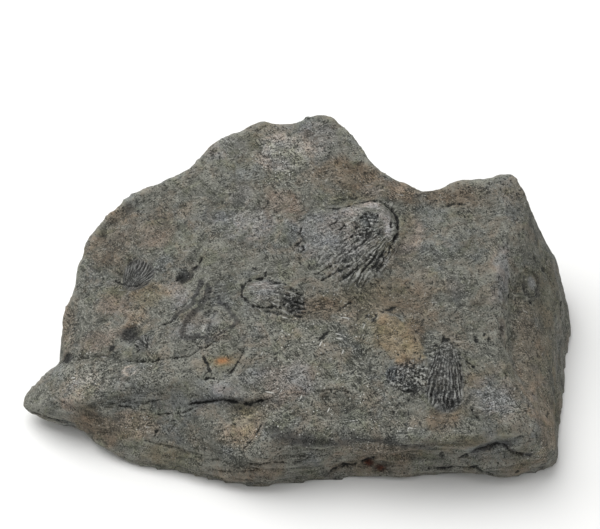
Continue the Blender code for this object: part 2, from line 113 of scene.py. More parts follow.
# Lines in the stone: half width, depth, darkness, and the points that each of them passes.
# Here and in the tables below, a place with x and y alone lies on the upper face.
LINES = [
    # crease, crack and chip of the left-hand shelf
    (0.6, 0.5, 0.4, [[(-64.9, -19.1), (-63.2, -19.6), (-60.3, -19.4), (-56.7, -19.6), (-52.5, -20.9)]]),
    (0.28, 0.5, 0.6, [
        [(-49.2, -22.6), (-44.7, -23.6), (-40.3, -24.3), (-35.7, -24.4), (-30.3, -24.3), (-28.3, -23),
         (-25.8, -22.1), (-24.2, -21.2), (-21.4, -19.5)],
    ]),
    (0.5, 0.5, 1, [
        [(-41.2, -24.3), (-38.9, -24.4), (-36.4, -24.3)], [(-27, -24.3), (-25.7, -27.3), (-24, -31.1)],
        [(-26.4, -31.6), (-25.2, -31.2), (-23.6, -31.3)],
    ]),
    (0.4, 0.4, 0.85, [[(-15.7, -22.5), (-16.3, -24.1), (-17.1, -26.5), (-18.7, -28.9), (-20.3, -31.1)]]),
    # large valve: edges
    (0.42, 0.4, 0.95, [
        [(6.6, 18.3), (9, 18.2), (11.1, 17.9)],
        [(11.3, 18), (13, 19.2), (16.3, 20.8), (19, 21.8), (21.1, 21.7)],
        [(0, 14.3), (-0.8, 12), (-1.3, 11.6), (0, 9.4), (-1.9, 7.6), (-0.1, 7.3), (0, 6.3), (-0.6, 5.6),
         (0.4, 5), (3.3, 4.9)],
    ]),
    (0.56, 0.8, 1, [
        [(20.6, 21.9), (22.5, 20.9), (23.8, 19.8), (25.1, 18.3), (26, 16.7), (26.4, 15), (26.5, 12.9),
         (26, 10.8), (25.5, 9), (25, 7.4), (24.5, 5.8)],
    ]),
    (0.66, 0.4, 1, [[(26.6, 14), (26.3, 10.8), (25.6, 9), (25.1, 7)]]),
    # large valve: streaks and dashes
    (0.44, 0.5, 1, [
        [(24.4, 14.8), (24.2, 12.7), (24.5, 11.7)], [(24.5, 6.7), (23.8, 5), (23.5, 3.4)],
        [(21.1, 4), (20, 2.9), (18.8, 1.1), (17.7, 0), (16.4, -1.4), (15.5, -2.3)],
        [(9.3, 1.2), (6.6, 0.1), (5.3, -0.3), (4.2, -1), (2.6, -0.9)], [(7, 12), (9.4, 13.2)],
        [(7.3, 9.9), (8, 9.7), (8.7, 9.9)], [(9.8, 10.4), (11.6, 11.9)],
        [(12.9, 7.6), (14.3, 8.9), (16.1, 10.2)], [(15.4, 7.8), (15.8, 8.6)],
        [(11.7, 2.9), (11.5, 1.6), (10.1, 1.1)],
        [(20.8, 0.1), (19.5, -0.1), (18.6, -1.2), (19.9, -1.5), (21.1, -0.2)],
        [(7.7, -1.9), (6.2, -2.4), (4.6, -3.3)], [(14, 4.2), (15.6, 5.6), (17, 6.4)],
        [(12.4, 3.6), (13.4, 4.6)], [(22.6, 5), (21.4, 3), (20.4, 1.6)],
    ]),
    (0.66, 0.6, 1, [
        [(15.9, 0.5), (14.8, -0.6), (13.5, -1.8), (12.3, -2.5), (11.3, -3), (10.6, -3.7)],
        [(13.5, 0.3), (11.5, -0.6), (10.2, -1.2), (8.8, -1.4), (7.4, -2)],
        [(18.9, 3.1), (18, 2.3), (17.1, 1)], [(21.6, 3.3), (22.4, 1.7), (21.8, 1.2)],
    ]),
    # large valve: pits in the broken shell, and dark remains round it
    (0.55, 0.5, 1, [
        [(16.8, 15.1), (17.7, 16)], [(18.9, 15.8), (19.8, 15.2)], [(20.4, 15.6), (20.9, 14.5)],
        [(17.8, 11.3), (19, 11.2)], [(20.8, 8.6), (21.3, 9.8), (21.2, 10.8)],
        [(18, 7.8), (18.9, 9.1), (19.5, 9.8)], [(13.8, 9.4), (14.4, 10.4), (15.4, 11)],
    ]),
    (0.4, 0.5, 1, [[(15.7, 13.7), (16.5, 14.4)], [(16.8, 6.3), (17.8, 7)], [(19.5, 7.2), (20.4, 8.1)]]),
    (0.65, 0.3, 0.62, [
        [(10, 20.4), (11.1, 22), (12.3, 22.4)], [(12.6, 22.9), (13.7, 22.2), (15.5, 22.5)],
        [(13.9, -3.9), (15, -4.8)], [(16.3, -4.3), (18.5, -3.1)], [(16.2, -5.2), (17.7, -3.7)],
    ]),
    # oval valve: margin, and the dark ribs at its right-hand end
    (0.52, 0.5, 1, [
        [(-13.7, -2.6), (-11.1, -2.4), (-9.5, -2.6), (-7.8, -4.1), (-5.3, -4.5), (-4, -5.2)],
        [(-13.7, -2.6), (-15.3, -3.3), (-16.6, -5.2), (-16.9, -7.6), (-16.5, -8.9)],
        [(-13.1, -11.4), (-10.2, -12.2), (-7.7, -11.7), (-5.6, -12.1)],
    ]),
    (0.62, 0.5, 1, [[(-16.4, -8), (-15.4, -9.8), (-14.4, -10.8), (-13.1, -11.4)]]),
    (0.8, 0.4, 0.58, [[(-11, -12.8), (-8.5, -13.4), (-6.3, -13.7), (-4.1, -14.1)]]),
    (0.4, 0.5, 1, [
        [(-3.8, -6.2), (-1.4, -6.3)], [(-2.5, -7.3), (0.2, -7.2)], [(-2.8, -8.8), (-1, -8.6)],
        [(-2.6, -9.9), (0.6, -9.6)], [(-3.4, -11.6), (-1.2, -11.3), (1, -11.2)], [(-2.2, -12.7), (1, -12.6)],
        [(-4.1, -12.9), (-2.3, -13.5), (-0.1, -14)],
    ]),
    (0.36, 0.3, 1, [
        [(-10.3, -0.4), (-10.3, -2.1)], [(-6.1, -7.7), (-5.5, -8.8)], [(-5.2, -9.7), (-4.2, -10.4)],
        [(-4.4, -7.4), (-3.6, -8.4)], [(-6.4, -5.8), (-5.2, -6.6)], [(-6.8, -10.4), (-5.6, -11)],
        [(-14.6, -13.2), (-13.4, -13.6)],
    ]),
    # tan mould and short lines on the face
    (0.38, 0.4, 1, [
        [(17, -13.4), (17.5, -14.9)], [(19.5, -13.9), (19.8, -15.4), (18.9, -15.9), (18.6, -17.5)],
        [(20, -26), (20.3, -27.2)], [(23.9, -42), (24.6, -40.7)],
        [(44.2, -40.6), (45.2, -42.1), (46.1, -43.7)], [(29.9, -21.5), (30.5, -22.5)],
        [(42.6, -26.8), (44.3, -27.7), (45.7, -29)], [(38.2, 19.6), (42.4, 20.4), (46, 20)],
        [(44.3, 18.4), (46.4, 15.9)], [(22.5, -45.4), (23, -47)], [(53.9, -30.2), (54.1, -31.4)],
    ]),
    (0.28, 0.3, 0.4, [
        [(22.6, -28.1), (24.8, -27.7), (27.6, -27.6)], [(19.9, -18.5), (19.7, -21.5), (20.2, -25.2)],
    ]),
    (0.6, 0.4, 1, [
        [(4, -21.2), (5.6, -19.6), (7, -18)], [(46, -19.6), (46.8, -21.8)],
        [(20.4, -13.7), (23.1, -11.7), (26, -10.1)], [(9.2, -11.5), (11.4, -10.1), (13.5, -8.6)],
    ]),
    # groove below a low step, dark as painted shadow
    (0.4, 0.5, 0.45, [[(3.3, -36.4), (5.5, -35.1), (8.4, -35), (11.3, -35.7), (14.2, -37.1)]]),
    # remains left of the ribbed fan
    (0.5, 0.4, 0.95, [
        [(23.1, -33.3), (24, -33.8), (25, -33.4)],
        [(25.9, -35.6), (27.2, -36.1), (28.3, -35.6), (29.1, -35)],
        [(27.3, -34.2), (28.3, -34.4), (29.5, -34.4)], [(27.7, -35), (28.8, -35.8), (29.8, -36.4)],
        [(31.3, -34.7), (32.5, -34.4), (33.6, -34.2)],
    ]),
    (0.34, 0.4, 0.85, [
        [(23, -30.7), (22.9, -32.1), (23.3, -33.4)], [(30.2, -36), (31.2, -35.4)],
        [(25.8, -33.3), (26.3, -32.6)], [(29.4, -30.9), (30.5, -30.5)],
        [(31.7, -29.2), (32.5, -30.6), (33.3, -31.5)], [(24.9, -35.1), (26, -35.7)],
        [(30.5, -32.3), (31.2, -32.9)], [(33.2, -34.7), (32.7, -36), (31.9, -36.9)],
        [(24.4, -31.2), (25.2, -32.2)],
    ]),
    # ribbed fan: head, edges and darkest grooves
    (0.5, 0.4, 1, [
        [(37.3, -19.5), (38.1, -20), (37.5, -21.4), (36.8, -22.6), (38.1, -22.7), (38.7, -20.5)],
        [(38.9, -20), (39.8, -22.1), (40, -23)], [(40.6, -29.2), (41.4, -29.6), (42.2, -28.8)],
        [(36, -30.7), (35.3, -32.6), (34.6, -34.9), (34.1, -36.4), (33.2, -38.4)],
        [(34.1, -37), (32.9, -38.7)],
        [(37.9, -30.7), (37.2, -32.3), (36.5, -34.3), (36, -36.1), (35.3, -37.8)],
        [(40.1, -34.8), (40.3, -36.9)], [(39.7, -39.1), (39.5, -40), (39.3, -40.9)],
        [(41.1, -37.7), (41.1, -39.3), (41, -40.6)],
    ]),
    (0.3, 0.3, 0.9, [
        [(34.4, -23.4), (35.1, -22.5), (36.1, -22.6), (36.3, -23.9), (35.8, -24.9), (34.6, -23.9)],
        [(40.5, -23), (42.1, -22.7)], [(41.2, -25.3), (42.1, -24.5)], [(41.4, -26.6), (42.3, -27)],
        [(42.3, -33.8), (43.4, -33.6)], [(41.4, -30.3), (41.9, -31.9), (42.1, -33.7), (42.4, -34.7)],
        [(34.4, -24.5), (35.5, -25.2), (36.3, -25.6), (36.6, -27.1)], [(33.6, -26.4), (34.3, -26.1)],
        [(34.9, -29.3), (34.1, -31.6), (33.6, -33.2)], [(36.4, -38.2), (37.4, -39.8), (37.6, -41.2)],
        [(37.9, -37.9), (38.4, -39.4), (38.3, -41.1)],
    ]),
    (1.2, 0.2, 0.64, [
        [(34.6, -38.6), (36.8, -39.4), (38.7, -39.5), (40.5, -38.6)], [(36, -40.3), (39.7, -40.3)],
    ]),
    # lens, left-hand fan and curl
    (0.45, 0.4, 0.9, [
        [(-53, 2.8), (-50.8, 1.6), (-48.2, 0.4), (-45.9, -0.2), (-44, 0.4)], [(-35.2, -1.1), (-33.4, 0.2)],
        [(-31.2, 1.2), (-29.8, 2), (-28.9, 2.8), (-27.9, 4.2), (-27.7, 4.8)],
    ]),
    (0.28, 0.3, 0.8, [
        [(-34.5, -13.5), (-35.6, -14), (-37.3, -14.2), (-38.8, -14)], [(-44.1, -17.3), (-43.1, -19.4)],
    ]),
    (0.38, 0.4, 1, [
        [(-43.4, -16), (-42.4, -17), (-42.1, -19.1), (-42.4, -21)],
        [(-45.1, -19), (-44.2, -20.6), (-45, -21.3), (-46.3, -21.1)],
    ]),
    # crack under the lip
    (0.46, 0.9, 1, [
        [(-31.4, -35.6, 16.8), (-29.6, -35.7, 17.6), (-25, -36.5, 19.2), (-21.5, -37.1, 20.6),
         (-18, -37.8, 20.3), (-14.4, -38.3, 20.1), (-11.7, -38, 20.9), (-9.8, -37.8, 21.4),
         (-6.5, -38.5, 21.4)],
    ]),
    (0.28, 0.5, 0.6, [
        [(-41.2, -36, 12.9), (-37.1, -36.3, 14), (-32.4, -36.9, 15.1), (-29.7, -36.8, 16.6),
         (-28.4, -36.4, 17.4)],
    ]),
    # terrace and cast
    (0.36, 0.4, 0.45, [
        [(-43.9, -40.1, 8.6), (-41.1, -41.5, 8.2), (-37.3, -42.6, 8.3), (-33, -43.5, 8), (-27.6, -45.4, 7.9),
         (-22.7, -46.7, 8.5)],
    ]),
    (0.42, 0.5, 1, [
        [(-40.3, -40.7, 9.2), (-39.5, -39.8, 10.3), (-38.4, -38.9, 11.3), (-38.9, -39.7, 10.6)],
    ]),
    (0.26, 0.4, 0.95, [
        [(-10.9, -42.6, 17.9), (-11.7, -44.2, 17.1), (-12.8, -45.7, 15.9), (-14.4, -47, 14.4),
         (-15.6, -47.8, 13.3), (-17.1, -47.6, 12.8)],
    ]),
    (0.3, 0.4, 0.5, [
        [(-55.7, -33.3, 15.8), (-51.9, -33.5, 14.9), (-47.9, -33.3, 15.4), (-44.1, -33.1, 16.8)],
        [(-54.7, -34.1, 13.9), (-49.3, -34, 14.2), (-43.9, -33.8, 14.8), (-38.4, -33.7, 16.7),
         (-33, -33.9, 18.1)],
    ]),
    (0.6, 0.6, 0.6, [[(-74.9, -28, 5.2), (-70.5, -30.3, 6.2), (-66.4, -31.2, 5.2), (-62.2, -32.3, 5.2)]]),
    # beds of the front: a groove under the overhanging band, dark as painted shadow
    (0.5, 0.7, 0.8, [
        [(38.9, -47.7, 12.4), (40.1, -47.4, 10.4), (41.3, -47.1, 8.9), (43.1, -46.9, 9.8),
         (45.7, -48.3, 13.1), (48, -47.1, 13.4), (50.1, -46.9, 14.1), (52.9, -47.3, 14.2),
         (54.1, -47.4, 12.7), (55.8, -46.7, 10.1), (57.7, -46.6, 9.9), (59.9, -46.4, 9.1)],
    ]),
    # wider painted shadow along the same overhang
    (0.8, 0.4, 0.6, [
        [(47.6, -47.2, 13.4), (52, -47.1, 14.2)], [(54.8, -47, 11), (57.9, -46.6, 9.9)],
        [(36.6, -45.9, 9.7), (37.8, -47.3, 6.8)],
    ]),
    # thin dark lines along the beds
    (0.35, 0.5, 0.7, [
        [(55.2, -47.4, 17.1), (58.1, -47, 17.5), (58.8, -46.9, 17.6)],
        [(61.2, -45.5, 17.9), (61.7, -46, 14.2)], [(30.1, -48.1, 14.9), (32.7, -47.9, 14.3)],
        [(-16, -49.5, 9), (-10.9, -50.5, 9.8), (-7.8, -50.3, 10.6), (-3.9, -50, 9.5), (-0.8, -49.3, 9.6),
         (2.3, -48.5, 10.8), (6.2, -47.9, 10.7), (8.5, -47.3, 10.5)],
    ]),
    # groove under the arched overhang of the recess, dark as painted shadow
    (0.7, 0.8, 0.75, [
        [(4.7, -48.2, 0.6), (6.6, -47.6, 1.8), (7.8, -47.5, 3.5), (9.8, -46.5, 4.1), (13.3, -45.9, 4.6),
         (16, -46, 6), (21, -47.6, 9.4)],
    ]),
    # groove along the undercut foot, dark as painted shadow beneath it
    (0.7, 0.8, 1, [
        [(32.4, -47, 4.7), (33.9, -47.3, 3.9), (38.3, -47.2, 4.1), (41.1, -47.6, 5.4), (46, -49.6, 7.1),
         (48.8, -48.5, 4.1), (52, -47.3, 0.9)],
    ]),
    (0.35, 0.4, 0.35, [
        [(-33, -43.8, 7.6), (-27.9, -45.9, 7.2), (-21.1, -47.7, 8.1)],
        [(-27.6, -47.9, 4.5), (-17.1, -50.4, 6.8), (-12, -50.5, 8.1), (-5.7, -50.5, 8.2), (2, -48.2, 6.2)],
        [(-7.5, -49.4, 12.7), (-0.9, -48.6, 11.3), (4.9, -48.2, 9.9)],
        [(-5.6, -49, 15.8), (0.7, -48.1, 13.5), (5.2, -47.6, 12.1), (10.7, -47.2, 13.3)],
    ]),
    # right-hand facet: scar, nick in the edge and short marks
    (0.6, 0.4, 0.34, [SCAR]),
    (0.6, 0.7, 0.8, [[(73.3, 7, 13.5), (72.7, 3.6, 13.4), (72.8, 1.8, 12), (74, 2.2, 7.5)]]),
    (0.5, 0.2, 0.7, [
        [(70.3, -18.3, 7.1), (69.7, -20.7, 7.3)], [(70.8, -21.2, 4.9), (69.6, -23.8, 6.4)],
        [(65.9, -33.8, 12.3), (65.5, -36.3, 12.4)],
    ]),
]

# Soft ridges, and hollows where the height is below zero: half width, height, and the points that they pass
FORMS = [
    (1, 0.5, [(-60.8, 9.6), (-59.6, 14.2), (-57.2, 18.6), (-53.9, 22.4), (-49.5, 25.6), (-43.3, 27.5),
        (-36.2, 29.6)]),
    (1.9, -0.7, [(-57.7, 10.9), (-56.5, 15.2), (-53.8, 19), (-50.2, 21.9), (-46, 24.3), (-40.3, 25.5)]),
    (3.4, -1.9, [(61, 12), (59.5, 4), (58.3, -4), (57.6, -12), (57.6, -20), (58.4, -29), (60, -38)]),
    (2.6, 0.6, [(53.8, 6), (52, -4), (51.6, -14), (53, -23)]),
    (2.4, -0.6, [(3.3, -39.1), (7.1, -37.5), (11, -38.1), (14.9, -40.5)]),
    (2.2, 0.5, [(-1.9, -31), (7.1, -30.2)]),
    (1.3, 0.45, [(-24.9, -7), (-27.9, -12.5), (-29.5, -16.5)]),
    (1.2, 0.4, [(-21.5, -13.5), (-22.8, -16.6)]),
    (1.2, -0.5, [(-29, -5.5), (-33.5, -10.3), (-37, -13)]),
    # ridges on the tan mould
    (0.35, 0.28, [(23.4, -22.2), (25, -23), (26.3, -24.4)]),
    (0.35, 0.25, [(21.6, -24.2), (22.8, -24.9), (24.4, -25.2)]),
    (0.35, 0.25, [(25.3, -25.8), (26.5, -24.3), (27, -22.4)]),
    (0.35, 0.25, [(22.2, -17.6), (22.8, -19.4), (24.2, -20.6)]),
    (0.35, 0.25, [(27.6, -21.2), (28.8, -23), (29.4, -25)]),
    (0.35, 0.22, [(20.9, -20.2), (21.8, -21.8), (22, -23.2)]),
    # top ridge and back rim
    (3, 1, [(-1, 47, 45), (5.4, 48.3, 45.2), (10.5, 47, 44.7)]),
    (3, 1.2, [(36, 24.8, 38.9), (45.5, 27.1, 39.4), (52.8, 28.9, 39.7), (61, 29.6, 38.5)]),
    (2.5, -0.9, [(-30, 35, 40.8), (-24, 38.6, 42.4)]),
    (2.5, -0.8, [(14, 34, 41.4), (21, 28, 39.8)]),
]

# Dark spots: place, radius, depth, darkness
SPOTS = [
    ((-46.9, -14.8), 3, 0.3, 0.43), ((-32.4, -0.1), 2.5, 0.3, 0.42), ((-51.9, -18.6, 20.6), 0.9, 0.2, 0.6),
    ((-64.7, -17.6, 15.4), 1.6, 0.3, 0.5), ((-39.5, -39.2, 10.8), 0.7, 0.2, 0.6),
    ((57.2, -48.2, 4.1), 0.7, 0.4, 0.7), ((51.6, -48.9, 8.8), 0.4, 0.2, 0.6),
    ((62, -46.9, 6.9), 0.4, 0.2, 0.6), ((62.9, -3.6, 23.3), 0.6, 0.5, 1),
    ((57.2, -5.4, 28.3), 0.5, 0.3, 0.9), ((60, -4.9, 25.6), 1.3, 0.2, 0.42),
    ((64.6, 10, 26.7), 1.1, 0.2, 0.42), ((67.3, 9.4, 23.2), 1.2, 0.3, 0.6),
    ((62.7, -10.8, 21.4), 0.9, 0.2, 0.4), ((64.1, -18.5, 17.4), 1, 0.2, 0.45),
    ((48.8, -19.3, 27.1), 0.45, 0.2, 0.9), ((49.9, -20.7, 26.7), 0.6, 0.2, 0.9),
    ((38.3, -20.8, 26.7), 0.9, 0.3, 0.9), ((28.4, 15.7, 36), 0.45, 0.2, 0.9),
    ((27.9, -38.5, 21.9), 0.45, 0.2, 1), ((19.1, -36.6), 0.8, 0.2, 0.45),
    ((30.4, -18.7, 27.2), 0.4, 0.2, 0.9), ((0.6, -2.6, 31.4), 0.45, 0.2, 0.8),
    ((1.8, 1.5, 32.6), 0.45, 0.2, 0.9), ((-10.1, 21.3, 37.7), 0.5, 0.2, 0.7),
    ((-7.6, 18.1, 36.9), 0.45, 0.2, 0.7), ((-22.7, 21.1, 37.5), 0.5, 0.2, 0.7),
    ((-20.5, 23.6, 38.3), 0.45, 0.2, 0.7), ((-10.7, 26, 39.2), 0.45, 0.2, 0.7),
    ((53.5, -17.4, 26.9), 0.8, 0.3, 0.4),
]

# Stains and painted shade by tone: display colour, then the place of each, its reach along x and across that,
# and strength
STAINS_AND_SHADE = {
    "rusty brown": ((107, 99, 87), [
        ((34.6, -43.9), 7, 3.4, 0.7), ((41, -49, 17.2), 8, 2.4, 0.5), ((-51, 8), 5, 4, 0.3),
        ((10.4, 30.2), 7, 6, 0.8), ((16.8, 28.1), 7, 6, 0.9), ((30.8, 24.4), 12, 4, 0.6),
        ((46, 22.9), 12, 5, 0.5), ((26, -8.4), 10, 6.5, 0.9), ((13.4, -9.6), 10, 5.5, 0.6),
        ((3.9, -10.3), 6, 4, 0.6), ((17.8, -46.2, 5.5), 12, 5, 0.6), ((-57.3, -35), 6, 6, 0.9),
        ((-50, -38, 9), 6, 5, 0.7), ((-38, -43, 6.5), 8, 3, 0.5), ((66.7, -17.6), 14, 20, 0.25),
        ((57.2, -47, 5.7), 8, 4, 0.6), ((-54.9, 12.7), 7, 9, 0.5), ((-39.2, 15.7), 7, 6, 0.5),
        ((-16.8, -50.5, 5.9), 16, 4, 0.5), ((38, -43, 20), 7, 4, 0.5), ((69.7, 10.5), 3, 5, 0.7),
        ((0.5, -31), 8, 5, 0.3), ((-28.8, 17.8), 7, 6, 0.3), ((62, -12), 4, 8, 0.35),
        ((-50.2, 22.2), 6, 4, 0.6), ((1.9, -13.3), 5, 3, 0.5), ((-65, -7.6), 3.5, 8, 0.6),
        ((-17.2, 25.7), 6, 4, 0.4), ((32, -16, 28.4), 4, 5, 0.5), ((30.4, -19.4), 4, 4.5, 0.7),
        ((66.5, -34), 5, 8, 0.6),
    ]),
    "pinkish": ((122, 114, 105), [
        ((-5.7, 21), 6, 5, 0.8), ((30.4, 11.7), 3.5, 6, 0.9), ((28.6, 5.2), 4, 4, 0.6),
        ((-4.4, -33.9), 6.5, 5, 1), ((-57.5, -14.8), 6, 5, 0.7), ((-52.5, -3.3), 6, 7, 0.5),
        ((-44.7, 12.8), 8, 5, 0.5), ((-64.1, -31.7, 12.3), 3, 2, 0.8), ((-46, -9.5), 4, 4, 0.7),
        ((-34.7, -4.6, 28.9), 3, 4, 0.6),
    ]),
    "ochre": ((125, 114, 95), [
        ((22, -17.3), 4.4, 5, 0.9), ((24.8, -21.5), 5.2, 5.8, 0.9), ((28.5, -25.4), 4.6, 4.6, 0.9),
        ((39.2, -5.6), 3.5, 3, 0.6), ((-19.4, -44.6), 5, 4, 0.4), ((-15, -39), 5, 2.4, 0.5),
        ((-41.5, -3.6), 6.6, 4.6, 0.5), ((40.5, -41, 21), 4, 2.5, 0.4), ((44.5, -35), 3, 8, 0.35),
        ((-45, -12), 4, 5, 0.35), ((65, -40), 5, 9, 0.2),
    ]),
    "olive": ((104, 103, 90), [
        ((-17, 38), 7, 6, 1), ((-20, -2, 30.5), 6, 6, 0.3), ((20, -7, 30.4), 10, 5, 0.4),
        ((17, -20), 4, 7, 0.5), ((48, -33, 24), 5, 8, 0.4), ((-2, -21), 5, 5, 0.3),
        ((-51.4, -0.6, 24.6), 3, 2.6, 0.6), ((-43, -5), 5.5, 4.5, 0.45), ((9, -40), 10, 4, 0.35),
        ((-35, -45, 5), 14, 4, 0.6), ((-22, -25.5), 5, 5.5, 0.7), ((-9.6, -39.4), 5, 3, 0.9),
        ((22.4, 5.6), 2.4, 4, 0.7), ((11, 20.6), 4, 3, 0.8), ((30, -47.5, 12), 10, 3.5, 0.6),
        ((52, -45.6, 17.5), 7, 2, 0.7), ((41, -48.9, 17.3), 9, 2.4, 0.9), ((66, 4, 20), 7, 14, 0.7),
        ((66, -25), 7, 16, 0.6), ((12, 22), 7, 3.5, 0.5), ((29, 14, 35.8), 2, 5, 0.6),
        ((55, -32), 2, 9, 0.5), ((-47, -21), 6, 3, 0.5),
    ]),
    "orange": ((136, 112, 82), [((-21.4, -26.9, 24.7), 2.7, 1.5, 0.6)]),
    "deep orange": ((142, 98, 62), [((-21.6, -26.7, 24.7), 1.5, 0.9, 0.75)]),
    "rust": ((66, 32, 16), [((17.5, -46.2, 5.8), 1.4, 1.1, 1), ((20.6, -46.7, 4.4), 1.5, 1.2, 1)]),
    "cold grey": ((121, 121, 119), [
        ((-14.8, 13.2), 7, 6, 0.8), ((-22.8, 38.9), 7, 5, 0.7), ((4.8, 40.6), 6, 5, 0.8),
        ((12.1, 6.5), 5.5, 4.5, 0.9), ((55, 4, 32.4), 2.6, 7, 0.7), ((52.6, -6, 30), 2.2, 5, 0.5),
        ((-19.5, -35.3), 6, 3.5, 0.7), ((-8, -39, 21), 5, 2.5, 0.6), ((53.6, -36), 3, 5, 0.6),
    ]),
    "umbo": ((156, 153, 151), [
        ((19.2, 19.6), 3.2, 1.8, 0.9), ((22.4, 16.3), 2, 2.6, 0.95), ((23.1, 11.8), 1.5, 3.4, 0.9),
        ((14.8, 17, 38.6), 3, 1.8, 0.5), ((-6.2, 36.4), 6, 5, 0.7), ((21.6, -48.1, 11.9), 8, 2.6, 0.2),
        ((6, 13, 37), 5, 4, 0.35), ((-11.5, -6.6), 4.2, 2.6, 0.3), ((12.9, 15.7, 38.2), 4, 2.4, 0.5),
        ((12, 5.6, 35.8), 4, 3, 0.3),
    ]),
    "warm grey": ((126, 118, 106), [
        ((25, 24.8), 8, 2.6, 0.9), ((-45.2, -37.8), 10, 3.4, 0.95), ((63.6, -36.8, 15.5), 6, 9, 0.85),
        ((65.1, -44), 4, 4, 0.9), ((62.3, -19), 5, 13, 0.6), ((21.6, -48.1, 11.9), 11, 3.6, 1),
        ((29, -45.5, 19), 3, 2, 0.4), ((52.5, 6, 33.5), 2.5, 9, 0.4),
    ]),
    "sand": ((138, 130, 116), [((-14.2, -42.6), 4.6, 4.8, 1), ((-17.6, -45.2), 4, 3, 0.6)]),
    "pale tan": ((146, 142, 134), [
        ((-5.6, 36.6), 7, 6, 0.95), ((-58.9, -28), 9, 4, 0.55), ((-21, -43.3), 4, 3, 0.35),
        ((-15.3, 13.8), 6, 4, 0.3), ((4.2, 41.2), 6, 4, 0.35),
    ]),
    "pale": ((124, 125, 124), [
        ((-10, -7, 31.6), 4.6, 3, 0.75), ((-6.6, 35.1, 43.1), 6, 5, 0.7), ((-0.9, -32), 3, 3, 0.6),
        ((-20.4, 14.8), 5, 4, 0.5), ((-24, -22), 6, 3.5, 0.3), ((-46.9, -26.3, 20.4), 2.4, 1.6, 0.5),
        ((63.5, 1.9, 25.2), 1.2, 1.9, 0.9), ((6, 9.5), 8, 8, 0.95), ((-33, -17, 25.6), 5, 4, 0.6),
        ((-1.5, -32.5), 7, 5, 0.45), ((-26.5, -15), 5, 4, 0.4), ((-33, -8, 27.4), 4, 4, 0.5),
        ((28, -33, 24.2), 3, 2, 0.3), ((52, -39), 4, 5, 0.6), ((48, -37), 5, 5, 0.5), ((55, 0), 2.2, 8, 0.9),
        ((39, -33.2, 24.8), 0.9, 3.6, 0.9), ((-17.5, 23), 4, 4, 0.45), ((1.9, 44.5, 44.3), 5, 3, 0.5),
        ((41.9, -4.7, 31), 4, 4, 0.4), ((26.7, -30.4, 24.8), 3, 1.8, 0.5),
        ((-14.7, -31.5, 22.9), 5, 3, 0.45), ((-25.2, -16.5, 25.8), 2.4, 2, 0.4),
    ]),
    "blue grey": ((86, 89, 88), [
        ((18.2, 13.6), 3, 2.6, 0.9), ((17.6, 9.4), 3.6, 2.4, 0.7), ((23.6, -31.8), 1.6, 2.2, 0.8),
        ((37.4, -38.8), 4.2, 3.4, 1), ((28.5, -35), 2.8, 1.8, 0.7),
    ]),
    # slate: dark stone round spots, shells and marks. The patches on the front wall below its edge and at its
    # foot, under the lip, in front of the low step and along the right-hand ridge are painted shade.
    "slate": ((71, 71, 69), [
        ((-46.9, -14.8), 3.3, 2.7, 0.85), ((-32.4, -0.1, 29.3), 2.8, 2.1, 0.85),
        ((-29.4, 1.8, 31), 1.8, 1, 0.9), ((-43.6, -19.2), 2, 2.2, 0.4),
        ((-51.9, -18.6, 20.6), 1.4, 1.2, 0.7), ((-64.6, -17.6, 15.6), 2.6, 1.6, 0.8),
        ((9, -41.4), 10, 3.4, 0.38), ((37.6, -39.6, 22.1), 3.6, 2.2, 0.9), ((-45.6, 3.2), 2.6, 2.4, 0.5),
        ((27.4, -8.4), 6, 3.4, 0.15), ((-48.6, -5, 24.8), 2.2, 1.6, 0.35),
        ((-50.9, -10.4, 22.6), 1.4, 1.4, 0.35), ((-25.8, -12.2, 27), 1.8, 1.6, 0.35),
        ((-21.6, -38.4, 18.2), 5, 2.6, 0.3), ((-10.8, -42.4, 17.6), 2.4, 3, 0.3),
        ((54.3, -47.6, 15.6), 5, 1.8, 0.35), ((4.6, -48, 2), 8, 2.6, 0.35), ((-17, 38), 5, 4, 0.2),
        ((63, -8, 20.6), 4, 10, 0.15), ((-2.3, -10.4), 3.6, 3.4, 0.8), ((20.8, 1.5, 34), 3, 2.6, 0.5),
        ((65, 0.5, 22.9), 1.2, 1.6, 0.7), ((53.6, -17.4, 26.9), 1.2, 2.8, 0.7),
        ((-1, -47.6, 16.4), 7, 2.4, 0.5), ((66, 6, 20), 6, 10, 0.2), ((55.5, -1.5, 30.4), 1.6, 9, 0.25),
        ((41, -49.4, 16.6), 9, 2, 0.3),
    ]),
}
